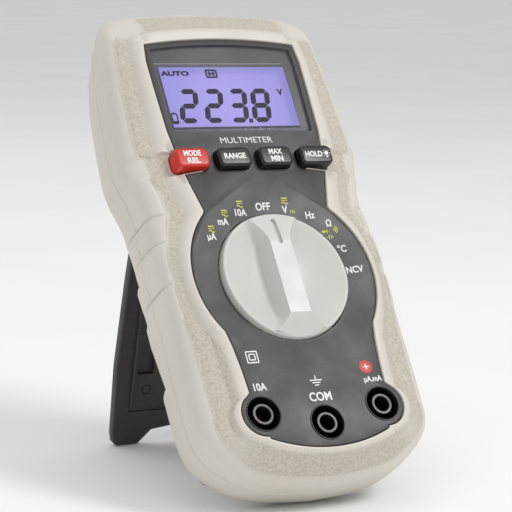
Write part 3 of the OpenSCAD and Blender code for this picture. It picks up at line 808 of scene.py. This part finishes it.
def rectangle(half_x, low_y, high_y, height):
    """A ring of the spokes' count round a rectangle, with one point on each corner."""
    centre = Vector((0, (low_y + high_y) / 2, 0))
    half_y = (high_y - low_y) / 2
    ways = [on_spoke(i, WIDEST[i], 0) - centre for i in range(COUNT)]
    points = []
    for way in ways:
        scale = min(half_x / max(abs(way.x), 1e-6), half_y / max(abs(way.y), 1e-6))
        points.append(centre + way * scale + Vector((0, 0, height)))
    for sx in (-1, 1):
        for sy in (-1, 1):
            corner = Vector((sx * half_x, centre.y + sy * half_y, height))
            nearest = min(range(COUNT), key=lambda i: (points[i] - corner).length)
            points[nearest] = corner
    return points


def rear_rings():
    """Rings of the rear shell: from the door's opening, over the inside, the wall and the back face,
    down into the stand's bed and back to the opening."""
    traced = {z: trace("rear_case", z, 5) for z in TRACED_HEIGHTS}
    door_low, door_high = box_in("battery_door")
    stand_half = box_in("tilt_stand", STAND)[1].x - PIN_REACH
    bed_floor = door_low.z
    inside = door_high.z
    door = (door_high.x + DOOR_GAP, door_low.y - DOOR_GAP, door_high.y + DOOR_GAP)
    bed = (stand_half, PIVOT.y - BED_DOWN, PIVOT.y + BED_UP)
    rings = [rectangle(*door, inside)]

    def ring(reach, height):
        points = []
        for i in range(COUNT):
            hub, way = SPOKES[i]
            on_side = abs(way.x) == 1
            tooth = saw_tooth(hub.y) * smoothstep(15, 24, -height) if on_side else 0
            groove = pad_lift(hub.y, 1) * (1 - smoothstep(16, 25, -height)) if on_side else 0
            points.append(on_spoke(i, reach[i] - tooth + groove, height))
        rings.append(points)

    ring([r - WALL - INNER_DRAFT for r in traced[-23]], inside)
    ring([min(r, q) - WALL for r, q in zip(SEAM_EDGE, traced[-16])], SEAM - SEAM_GAP)
    ring([r - SEAM_CHAMFER for r in SEAM_EDGE], SEAM - SEAM_GAP)
    ring(SEAM_EDGE, SEAM - SEAM_GAP - SEAM_CHAMFER)
    ring(traced[-13.8], -14.6)
    for height in REAR_HEIGHTS:
        above = min((k for k in TRACED_HEIGHTS if k >= height), default=TRACED_HEIGHTS[-1])
        below = max((k for k in TRACED_HEIGHTS if k <= height), default=TRACED_HEIGHTS[-1])
        share = 0 if above == below else (above - height) / (above - below)
        inset = 0.7 if height < -27.9 else 0.15 if height < -27.6 else 0
        ring([blend(p, q, share) - inset for p, q in zip(traced[above], traced[below])], height)
    bed_rim = rectangle(bed[0] + 0.9, bed[1] - 0.9, bed[2] + 0.9, BACK)
    rings.append([p.lerp(q, 0.5) for p, q in zip(rings[-1], bed_rim)])
    for grow, height in ((0.5, BACK), (0.12, BACK + 0.12), (0.0, BACK + 0.5), (0.0, bed_floor)):
        rings.append(rectangle(bed[0] + grow, bed[1] - grow, bed[2] + grow, height))
    rings.append(rectangle(*door, bed_floor))
    rings.append(rectangle(*door, inside))
    return rings


def add_rear_casing():
    """The rear shell with the stand's bed, the battery bay's opening and the upper screw wells."""
    screw_top = box_in("case_screws")[1].y
    wells = [rod(WELL_R, BACK - 2, WELL_FLOOR, (s * WELL_X, screw_top - WELL_BELOW)) for s in (-1, 1)]
    bm = carved(lofted(rear_rings()), wells)
    finished("rear_casing", bm, CASING, body="meter", replaces=["rear_case"])


# --- face panel ---------------------------------------------------------------------------------
DISH_IN, DISH_OUT, DISH_DEEP = 20.6, 27.4, 1.2
KEYS = ("button_mode", "button_range", "button_max_min", "button_hold")
KEY_BODIES = ("mode_key", "range_key", "max_min_key", "hold_key")
JACKS = ("socket_10a", "socket_com", "socket_ma")
KEY_W, KEY_H, KEY_R = 10.6, 6.2, 1.8


def panel_height(x, y):
    """Height of the panel's face, with the dial's shallow dish."""
    return -DISH_DEEP * (1 - climb_to(DISH_IN, DISH_OUT, math.hypot(x, y)))


def key_cutter(node, gap):
    hole = rounded_outline(KEY_W + 2 * gap, KEY_H + 2 * gap, KEY_R + gap)
    return moved(prism(hole, -6, 1), (middle(node).x, middle(node).y, 0))


def panel_cutters(knob_hole, jack_hole, key_gap):
    made = [rod(knob_hole, -6, 1, segments=128), *[key_cutter(node, key_gap) for node in KEYS]]
    for node in JACKS:
        made.append(rod(jack_hole, -6, 1, (middle(node).x, middle(node).y), 96))
    made.append(slab((-22.4, 46.4, -6), (22.4, 74.2, 1)))
    return made


def lens_outline(grow=0.0):
    low, high = box_in("display_lens")
    mesh = frame["nodes"]["display_lens"].data
    points = [TO_METER @ v.co for v in mesh.vertices]
    top = [p for p in points if p.z > high.z - 0.01]
    rim = {}
    for p in top:
        rim[(round(p.x, 3), round(p.y, 3))] = p
    centre = Vector((0, (low.y + high.y) / 2, 0))
    ordered = sorted(rim.values(), key=lambda p: math.atan2(p.y - centre.y, p.x))
    made = []
    for p in ordered:
        way = Vector((p.x, p.y - centre.y, 0))
        made.append(Vector((p.x, p.y, 0)) + way.normalized() * grow)
    return made


def add_panel():
    outline = [on_spoke(i, PANEL_EDGE[i], 0) for i in range(COUNT)]
    bm = prism(outline, -1.8, 0, top_round=0.28, segments=3)
    dish = turned([(0.001, -DISH_DEEP), (DISH_IN, -DISH_DEEP), (DISH_OUT, 0), (DISH_OUT + 0.6, 0.3),
                   (0.001, 0.3)], 180)
    cutters = [dish, prism(lens_outline(0.1), -1.15, 1), *panel_cutters(19.8, 5.25, 0.25)]
    bm = carved(bm, cutters)
    finished("face_panel", bm, PANEL, body="meter", replaces=["front_panel"])


def add_deck():
    """The front shell's floor under the panel, which carries it."""
    outline = [on_spoke(i, PANEL_EDGE[i] - 1.45, 0) for i in range(COUNT)]
    bm = carved(prism(outline, -4.2, -2.02), panel_cutters(19.9, 5.25, 1.0))
    finished("front_deck", bm, CASING, body="meter")


def add_window():
    """The display window: a border printed on its back, two thin light-grey strips painted along its top and
    bottom as the highlights on its edges, and the clear sheet.
    """
    low, high = box_in("display_lens")
    film_top = low.z + 0.12
    film = carved(prism(lens_outline(), low.z, film_top), [slab((-21.9, 48.1, -3), (19.8, 69.0, 1))])
    finished("window_border", film, BORDER, body="meter", replaces=["display_lens"])
    # Painted highlights: two light-grey strips across the window's top and bottom edges.
    lines = [stroke((-22.4, 70.1), (19.2, 70.1), 0.22), stroke((-22.4, 46.75), (22.4, 46.75), 0.26)]
    bm = moved(joined(lines), (0, 0, film_top))
    finished("window_edge_painted_highlights", bm, WINDOW_EDGE_HIGHLIGHT_PAINT, body="meter", smooth=False)
    pane = prism(lens_outline(), film_top + 0.06, high.z, top_round=0.16, segments=2)
    finished("window_pane", pane, WINDOW, body="meter")


# --- knob ---------------------------------------------------------------------------------------
CREST_R = 18.55
BAR_TOP = 2.65
BAR_HALF = 3.3
BAR_FOOT = 5.0
HEAD_Y, TAIL_Y = 9.4, -12.7
BOWL_DEEP = -3.0
# Where the bar's flare is measured from and to.
FLARE_Y = 17.5
FOOT_TAIL_Y = -11
# Rim and wall: radius, drop from the rim's crest, and level where the ring is flat.
KNOB_RIM = ((18.75, 0.0, 0.0), (18.95, -0.08, 0.0), (19.12, -0.25, 0.0), (19.25, -0.6, 0.0),
            (19.4, 0, -1.2), (19.4, 0, -3.8))


def crest_height(y):
    """Height of the knob's rim: level at the sides, lower at both ends of the bar."""
    return 0.95 - 1.15 * max(0, -y / CREST_R) ** 3 - 0.65 * max(0, y / CREST_R) ** 3


def bar_top(y):
    if y > HEAD_Y:
        return BAR_TOP - (BAR_TOP - 1.35) * ((y - HEAD_Y) / (CREST_R - HEAD_Y)) ** 1.4
    if y < TAIL_Y:
        return BAR_TOP - (BAR_TOP + 0.15) * ((TAIL_Y - y) / (CREST_R + TAIL_Y)) ** 1.05
    return BAR_TOP


def bar_half(y):
    head = max(0, y - HEAD_Y) / (FLARE_Y - HEAD_Y)
    tail = max(0, TAIL_Y - y) / (FLARE_Y + TAIL_Y)
    return BAR_HALF + 4.7 * head ** 1.7 + 4.9 * tail ** 1.3


def bar_foot(y):
    head = max(0, y - HEAD_Y) / (FLARE_Y - HEAD_Y)
    tail = max(0, FOOT_TAIL_Y - y) / (FLARE_Y + FOOT_TAIL_Y)
    return BAR_FOOT + 4.7 * head ** 1.4 + 4.6 * tail ** 1.4


def bowl_height(x, y):
    share = climb_to(3.5, CREST_R, math.hypot(x, y))
    return BOWL_DEEP + (crest_height(y) - BOWL_DEEP) * share ** 2.1


def slot_depth(x, y):
    """The pointer's slot in the head of the bar."""
    away = (Vector((x, y)) - Vector((0, min(16.2, max(9.6, y))))).length
    return 0.95 * (1 - smoothstep(0.64, 0.80, away))


def knob_columns(y):
    """X of the grid's lines across the knob at y: they follow the slot, the bar's edge and its foot."""
    limit = math.sqrt(max(0.0, CREST_R ** 2 - y ** 2))
    top = min(bar_half(y), limit * 0.93)
    foot = min(bar_foot(y), limit * 0.97)
    scale = min(1.0, top / 1.6)
    xs = [scale * x for x in (0.3, 0.55, 0.64, 0.72, 0.80, 0.95, 1.2)]
    xs += [blend(xs[6], top, k / 6) for k in range(1, 6)] + [top - 0.06 * scale, top]
    xs += [blend(top, foot, (k / 10) ** 1.2) for k in range(1, 11)]
    xs += [blend(foot, limit, k / 18) for k in range(1, 19)]
    return [-x for x in reversed(xs)] + [0.0] + xs


def knob_height(x, y):
    top, foot = bar_half(y), bar_foot(y)
    bowl = bowl_height(x, y)
    bar = bar_top(y)
    away = abs(x)
    if away <= top:
        height = max(bar, bowl) - slot_depth(x, y)
        return height - 0.05 * smoothstep(top - 0.07, top, away)
    share = min(1.0, (away - top) / (foot - top))
    return bowl + max(0.0, bar - bowl) * (1 - share) ** 1.7


def add_knob():
    rows = 180
    columns = len(knob_columns(0))
    bm = bmesh.new()
    bmesh.ops.create_grid(bm, x_segments=columns - 1, y_segments=rows, size=1)
    for vertex in bm.verts:
        column = round((vertex.co.x + 1) / 2 * (columns - 1))
        y = CREST_R * math.sin(math.pi / 2 * vertex.co.y)
        x = knob_columns(y)[column]
        vertex.co = (x, y, knob_height(x, y))
    bmesh.ops.remove_doubles(bm, verts=bm.verts, dist=2e-3)
    edge = [e for e in bm.edges if e.is_boundary]
    for radius, drop, level in KNOB_RIM:
        made = bmesh.ops.extrude_edge_only(bm, edges=edge)["geom"]
        edge = [e for e in made if isinstance(e, bmesh.types.BMEdge)]
        for vertex in {v for e in edge for v in e.verts}:
            flat = Vector((vertex.co.x, vertex.co.y)).normalized() * radius
            height = level if level else crest_height(flat.y * CREST_R / radius) + drop
            vertex.co = (flat.x, flat.y, height)
    bmesh.ops.edgeloop_fill(bm, edges=edge)
    bmesh.ops.recalc_face_normals(bm, faces=bm.faces)
    hub = joined([bm, rod(6, -5.6, -3.8), rod(4, -7.7, -5.6)])
    finished("selector_knob", hub, KNOB, body="selector", replaces=["knob"])


# --- buttons ------------------------------------------------------------------------------------
def add_buttons():
    """Key caps with rounded rims, their skirts and stems."""
    for node, body in zip(KEYS, KEY_BODIES):
        high = box_in(node)[1].z
        cap = prism(rounded_outline(KEY_W, KEY_H, KEY_R), -4.3, high, top_round=0.95, segments=6)
        skirt = prism(rounded_outline(KEY_W + 1.8, KEY_H + 1.8, KEY_R + 0.9), -5.1, -4.3)
        stem = prism(rounded_outline(4, 3, 0.8), -8.35, -5.1)
        whole = moved(joined([cap, skirt, stem]), (middle(node).x, middle(node).y, 0))
        red = node == "button_mode"
        finished(node + "_cap", whole, RED_CAP if red else BLACK_CAP, body=body,
                 replaces=[node])


# --- sockets ------------------------------------------------------------------------------------
def add_sockets():
    """Shrouded sockets: a black liner with a bright-edged collar, and a black post round the contact with a
    paler ring on its end, a painted highlight.
    """
    for node in JACKS:
        at = (middle(node).x, middle(node).y, 0)
        liner = turned([(4.74, -0.1), (4.80, 0.12), (4.92, 0.24), (5.08, 0.25), (5.2, 0.14), (5.2, -4.3),
                        (6.2, -4.3), (6.2, -5.4), (5.5, -5.4), (5.5, -21.6), (3.2, -21.6), (3.2, -19.8),
                        (4.74, -19.8)], 96)
        finished(node + "_liner", moved(liner, at), SOCKET_BLACK, body="meter",
                 replaces=[node])
        post = turned([(2.2, -0.5), (2.26, -0.34), (2.42, -0.25), (2.85, -0.25), (3.03, -0.34), (3.1, -0.55),
                       (3.1, -21.6), (2.6, -21.6), (2.6, -6.0), (2.2, -6.0)], 96)
        finished(node + "_post", moved(post, at), SOCKET_BLACK, body="meter")
        # Painted highlight: a paler ring on the post's end where the light catches it.
        ring = turned([(2.3, -0.42), (3.02, -0.42), (3.02, -0.3), (2.9, -0.22), (2.42, -0.22), (2.3, -0.3)],
                      96)
        finished(node + "_post_end", moved(ring, at), POST_END_PAINTED_HIGHLIGHT, body="meter")


# --- print --------------------------------------------------------------------------------------
INK = 0.035
CAP_SHARE = 0.729


def lettering(words, at, height, width=None, bold=0.0):
    """Flat letters of a cap height centred on a point, as a thin raised film."""
    curve = bpy.data.curves.new("letters", "FONT")
    curve.body = words
    curve.align_x = "CENTER"
    curve.align_y = "CENTER"
    curve.size = height / CAP_SHARE
    curve.offset = bold
    curve.extrude = INK / 2
    curve.resolution_u = 4
    text = bpy.data.objects.new("letters", curve)
    bpy.context.scene.collection.objects.link(text)
    mesh = bpy.data.meshes.new_from_object(text.evaluated_get(bpy.context.evaluated_depsgraph_get()))
    bpy.data.objects.remove(text)
    bm = bmesh.new()
    bm.from_mesh(mesh)
    bpy.data.meshes.remove(mesh)
    bmesh.ops.remove_doubles(bm, verts=bm.verts, dist=1e-5)
    span = max(v.co.x for v in bm.verts) - min(v.co.x for v in bm.verts)
    squeeze = width / span if width else 0.86
    shift = (max(v.co.x for v in bm.verts) + min(v.co.x for v in bm.verts)) / 2
    lift = (max(v.co.y for v in bm.verts) + min(v.co.y for v in bm.verts)) / 2
    for vertex in bm.verts:
        x, y, z = vertex.co
        vertex.co = ((x - shift) * squeeze + at[0], y - lift + at[1], z + INK / 2)
    return bm


def shape(points, low=0.0, high=INK):
    """A thin film with the outline given."""
    return prism([Vector((x, y, 0)) for x, y in points], low, high)


def stroke(a, b, width):
    a, b = Vector(a), Vector(b)
    along = (b - a).normalized()
    side = Vector((-along.y, along.x)) * width / 2
    return shape([a + side, a - side, b - side, b + side])


def polyline(points, width):
    return [stroke(a, b, width) for a, b in zip(points, points[1:])]


def frame_mark(at, half, width):
    """A square drawn in line."""
    x, y = at
    turns = ((-1, -1), (1, -1), (1, 1), (-1, 1), (-1, -1))
    return polyline([(x + sx * half, y + sy * half) for sx, sy in turns], width)


def wave_mark(at, size):
    """A bar over a sine wave: direct and alternating current."""
    x, y = at
    wave = [(x + size * (k / 8 - 0.5), y - 0.42 * size + 0.16 * size * math.sin(k * math.tau / 8))
            for k in range(9)]
    bars = [stroke((x - size / 2, y + 0.36 * size), (x + size / 2, y + 0.36 * size), 0.2 * size)]
    dashes = [stroke((x + size * s - 0.12 * size, y + 0.02 * size),
                     (x + size * s + 0.12 * size, y + 0.02 * size), 0.17 * size) for s in (-0.36, 0, 0.36)]
    return bars + dashes + polyline(wave, 0.18 * size)


def on_panel(parts):
    """Lays films on the panel's dished face."""
    bm = joined(parts)
    for vertex in bm.verts:
        vertex.co.z += panel_height(vertex.co.x, vertex.co.y) - 0.005
    return bm


def add_panel_print():
    white = [lettering("MULTIMETER", (0.0, 43.7), 2.0, 16.8)]
    labels = (("µA", -19.1, 13.2, 2.1), ("mA", -14.3, 18.0, 2.1), ("10A", -7.9, 20.7, 2.1),
              ("OFF", -0.4, 22.3, 2.3), ("V", 6.4, 21.1, 2.2), ("Hz", 13.9, 18.9, 2.1),
              ("Ω", 19.0, 16.0, 2.0), ("°C", 21.1, 7.8, 2.1), ("NCV", 23.2, 0.9, 2.1),
              ("COM", 0.0, -37.3, 2.6), ("10A", -17.5, -33.1, 2.2), ("µA.mA", 17.9, -33.5, 1.7))
    white += [lettering(words, (x, y), height, bold=0.07) for words, x, y, height in labels]
    white += frame_mark((-17.4, -24.2), 1.65, 0.34) + frame_mark((-17.4, -24.2), 0.85, 0.34)
    earth_x, earth_y = 0.0, -32.4
    white += [stroke((earth_x, earth_y + 1.4), (earth_x, earth_y), 0.3)]
    white += [stroke((earth_x - w, earth_y - d), (earth_x + w, earth_y - d), 0.32)
              for w, d in ((1.9, 0), (1.25, 0.75), (0.6, 1.5))]
    plus_x, plus_y = 16.8, -29.6
    plus = (stroke((plus_x - 0.9, plus_y), (plus_x + 0.9, plus_y), 0.34),
            stroke((plus_x, plus_y - 0.9), (plus_x, plus_y + 0.9), 0.34))
    white += [moved(bar, (0, 0, INK * 0.8)) for bar in plus]
    finished("panel_print_white", on_panel(white), WHITE_INK, body="meter",
             smooth=False)
    yellow = []
    for x, y in ((-18.7, 15.75), (-13.3, 20.6), (-7.8, 23.3), (6.8, 23.8)):
        yellow += wave_mark((x, y), 1.9)
    yellow.append(lettering("Hz", (8.7, 20.4), 1.2))
    diode = (17.3, 13.5)
    yellow += [shape([(diode[0] - 0.7, diode[1] + 0.6), (diode[0] - 0.7, diode[1] - 0.6),
                      (diode[0] + 0.5, diode[1])]),
               stroke((diode[0] + 0.6, diode[1] - 0.65), (diode[0] + 0.6, diode[1] + 0.65), 0.26),
               stroke((diode[0] - 1.3, diode[1]), (diode[0] + 1.2, diode[1]), 0.2)]
    arcs = (19.7, 13.8)
    for radius in (0.45, 0.95, 1.45):
        arc = [(arcs[0] + radius * math.cos(a), arcs[1] + radius * math.sin(a))
               for a in [math.radians(-50 + 20 * k) for k in range(6)]]
        yellow += polyline(arc, 0.28)
    cell = (18.6, 11.7)
    yellow += [stroke((cell[0] - 0.3, cell[1] - 0.7), (cell[0] - 0.3, cell[1] + 0.7), 0.24),
               stroke((cell[0] + 0.3, cell[1] - 0.7), (cell[0] + 0.3, cell[1] + 0.7), 0.24),
               stroke((cell[0] - 1.1, cell[1]), (cell[0] - 0.3, cell[1]), 0.22),
               stroke((cell[0] + 0.3, cell[1]), (cell[0] + 1.1, cell[1]), 0.22)]
    finished("panel_print_yellow", on_panel(yellow), YELLOW_INK, body="meter",
             smooth=False)
    disc = moved(rod(1.95, 0, INK * 0.7, segments=48), (plus_x, plus_y, 0))
    finished("panel_print_red", on_panel([disc]), RED_INK, body="meter", smooth=False)


def add_key_print():
    """White function words on the key caps."""
    words = ((("MODE", 1.15, 5.4), ("REL", -1.15, 4.0)), (("RANGE", 0.0, 6.8),),
             (("MAX", 1.15, 4.3), ("MIN", -1.15, 3.9)), (("HOLD", 0.0, 5.6),))
    for node, body, lines in zip(KEYS, KEY_BODIES, words):
        at, high = middle(node), box_in(node)[1].z
        parts = [lettering(text, (at.x, at.y + dy), 1.75, width, bold=0.085) for text, dy, width in lines]
        if node == "button_hold":
            for part in parts:
                moved(part, (-0.9, 0, 0))
            lamp = (at.x + 3.3, at.y)
            parts.append(moved(rod(0.62, 0, INK, segments=24), (lamp[0], lamp[1] + 0.2, 0)))
            parts += [stroke((lamp[0] + math.cos(a) * 0.85, lamp[1] + 0.2 + math.sin(a) * 0.85),
                             (lamp[0] + math.cos(a) * 1.25, lamp[1] + 0.2 + math.sin(a) * 1.25), 0.18)
                      for a in [math.radians(45 * k) for k in range(-1, 6)]]
            parts.append(stroke((lamp[0] - 0.3, lamp[1] - 0.95), (lamp[0] + 0.3, lamp[1] - 0.95), 0.5))
        bm = moved(joined(parts), (0, 0, high - 0.005))
        finished(node + "_legend", bm, WHITE_INK, body=body, smooth=False)


# --- display ------------------------------------------------------------------------------------
DIGIT_W, DIGIT_H, SEGMENT_W = 6.3, 11.5, 1.7
LEAN = 0.17


def segment(a, b, width=SEGMENT_W):
    """A bar with pointed ends."""
    a, b = Vector(a), Vector(b)
    along = (b - a).normalized()
    side = Vector((-along.y, along.x)) * width / 2
    tip = along * width / 2
    return shape([a, a + tip + side, b - tip + side, b, b - tip - side, a + tip - side])


def digit(lit, x, y):
    """A seven-segment figure with its lower left corner at x, y."""
    w, h, gap = DIGIT_W - SEGMENT_W, DIGIT_H - SEGMENT_W, 0.10
    x0, y0 = x + SEGMENT_W / 2, y + SEGMENT_W / 2
    ends = {"a": ((0, h), (w, h)), "b": ((w, h / 2), (w, h)), "c": ((w, 0), (w, h / 2)),
            "d": ((0, 0), (w, 0)), "e": ((0, 0), (0, h / 2)), "f": ((0, h / 2), (0, h)),
            "g": ((0, h / 2), (w, h / 2))}
    parts = []
    for name in lit:
        (ax, ay), (bx, by) = ends[name]
        sx, sy = (gap, 0) if ay == by else (0, gap)
        parts.append(segment((x0 + ax + sx, y0 + ay + sy), (x0 + bx - sx, y0 + by - sy)))
    return parts


def add_readout():
    low = 51.4
    figures = (("abged", -17.6), ("abged", -9.5), ("abgcd", -1.6), ("abcdefg", 5.9))
    parts = []
    for lit, x in figures:
        parts += digit(lit, x, low)
    parts.append(shape([(4.6, low - 0.1), (5.9, low - 0.1), (5.9, low + 1.3), (4.6, low + 1.3)]))
    bm = joined(parts)
    for vertex in bm.verts:
        vertex.co.x += LEAN * (vertex.co.y - low)
    others = [lettering("AUTO", (-15.2, 68.2), 1.5, 9.2, bold=0.11),
              lettering("V", (17.6, 61.6), 2.1, 2.0, bold=0.13),
              lettering("H", (-3.35, 68.1), 1.35, 2.0, bold=0.14)]
    others += polyline([(-5.0, 66.9), (-1.7, 66.9), (-1.7, 69.3), (-5.0, 69.3), (-5.0, 66.9)], 0.55)
    battery = [(-19.9, 51.4), (-18.2, 51.4), (-18.2, 54.6), (-19.9, 54.6), (-19.9, 51.4)]
    others += polyline(battery, 0.42)
    others += [shape([(-19.4, 54.6), (-18.7, 54.6), (-18.7, 55.1), (-19.4, 55.1)]),
               shape([(-19.9, 51.4), (-18.2, 51.4), (-18.2, 52.2), (-19.9, 52.2)])]
    top = box_in("lcd_glass")[1].z
    bm = moved(joined([bm, *others]), (0, 0, top + 0.005))
    finished("display_segments", bm, SEGMENT_INK, body="meter", smooth=False)


# --- stand --------------------------------------------------------------------------------------
def add_stand():
    """The folding stand: a rimmed plate with two feet, blind pockets, pin marks and its pivot."""
    low, high = box_in("tilt_stand", STAND)
    length = -low.y
    half_t = 1.6
    half = high.x - PIN_REACH - 0.7
    side = [(half - 1.8, 0), (half - 0.5, -30), (half, -58), (half - 1, -length + 3.6),
            (half - 1.7, -length + 0.8), (half - 2.6, -length), (14.8, -length), (10.6, -length + 4.4)]
    outline = [*side, (0, -length + 5.8), *[(-x, y) for x, y in reversed(side)]]
    bm = prism([Vector((x, y, 0)) for x, y in reversed(outline)], -half_t, half_t, top_round=0.55,
               foot_round=0.55)
    inner = [(half - 5.5, -6), (half - 4.6, -32), (half - 4.4, -58), (half - 5.4, -length + 11)]
    inner_loop = [*inner, *[(-x, y) for x, y in reversed(inner)]]
    cutters = [prism([Vector((x, y, 0)) for x, y in reversed(inner_loop)], half_t - 0.5, half_t + 1)]
    for s in (-1, 1):
        x0, x1 = sorted((s * 12.0, s * 17.4))
        cutters.append(slab((x0, -61, -0.2), (x1, -52, half_t + 1)))
        for y in (-40, -66):
            ring = turned([(1.25, half_t - 1.15), (1.55, half_t - 1.15), (1.55, half_t), (1.25, half_t)], 32)
            cutters.append(moved(ring, (s * 13.8, y, 0)))
    bm = carved(bm, cutters)
    ribs = [slab((s * 18.6 - 0.35, -length + 12, half_t - 0.7), (s * 18.6 + 0.35, -8, half_t - 0.15))
            for s in (-1, 1)]
    ribs += [slab((-18, y - 0.3, half_t - 0.7), (18, y + 0.3, half_t - 0.3)) for y in (-24, -48)]
    barrel = rod(half_t, -(half - 1.8), half - 1.8, segments=48)
    stub = rod(1.5, low.x, high.x, segments=48)
    for pin in (barrel, stub):
        bmesh.ops.rotate(pin, verts=pin.verts, matrix=Matrix.Rotation(math.pi / 2, 3, "Y"))
    whole = joined([bm, *ribs, barrel, stub])
    finished("folding_stand", whole, STAND_PP, place=STAND, body="stand",
             replaces=["tilt_stand"])


# --- carried-over CAD nodes ---------------------------------------------------------------------
NODE_FINISH = {
    "battery_door": CASING, "lens_seal": RUBBER, "lcd_glass": DISPLAY, "lcd_frame": FRAME_BLACK,
    "backlight": GUIDE, "zebra_strips": RUBBER, "switch_rotor": ACETAL, "wiper_contacts": BRASS,
    "detent_ring": ACETAL, "detent_balls": STEEL, "detent_springs": STEEL, "button_mat": SILICONE,
    "main_pcb": BOARD, "pcb_screws": STEEL, "contact_10a": BRASS, "contact_com": BRASS,
    "contact_ma": BRASS, "current_shunt": COPPER, "fuse_10a": CERAMIC, "fuse_ma": CERAMIC,
    "fuse_clips": STEEL, "meter_chip": CHIP, "input_parts": CHIP, "buzzer": CHIP,
    "voltage_sensor": COPPER, "battery_cells": JACKET, "battery_plates": STEEL,
    "battery_springs": STEEL, "door_screw": STEEL, "case_screws": STEEL}


def finish_nodes():
    for node, material in NODE_FINISH.items():
        mesh = frame["nodes"][node].data
        mesh.materials.clear()
        mesh.materials.append(material)


add_camera()
add_studio()
add_front_casing()
add_rear_casing()
add_panel()
add_deck()
add_window()
add_knob()
add_buttons()
add_sockets()
add_panel_print()
add_key_print()
add_readout()
add_stand()
finish_nodes()
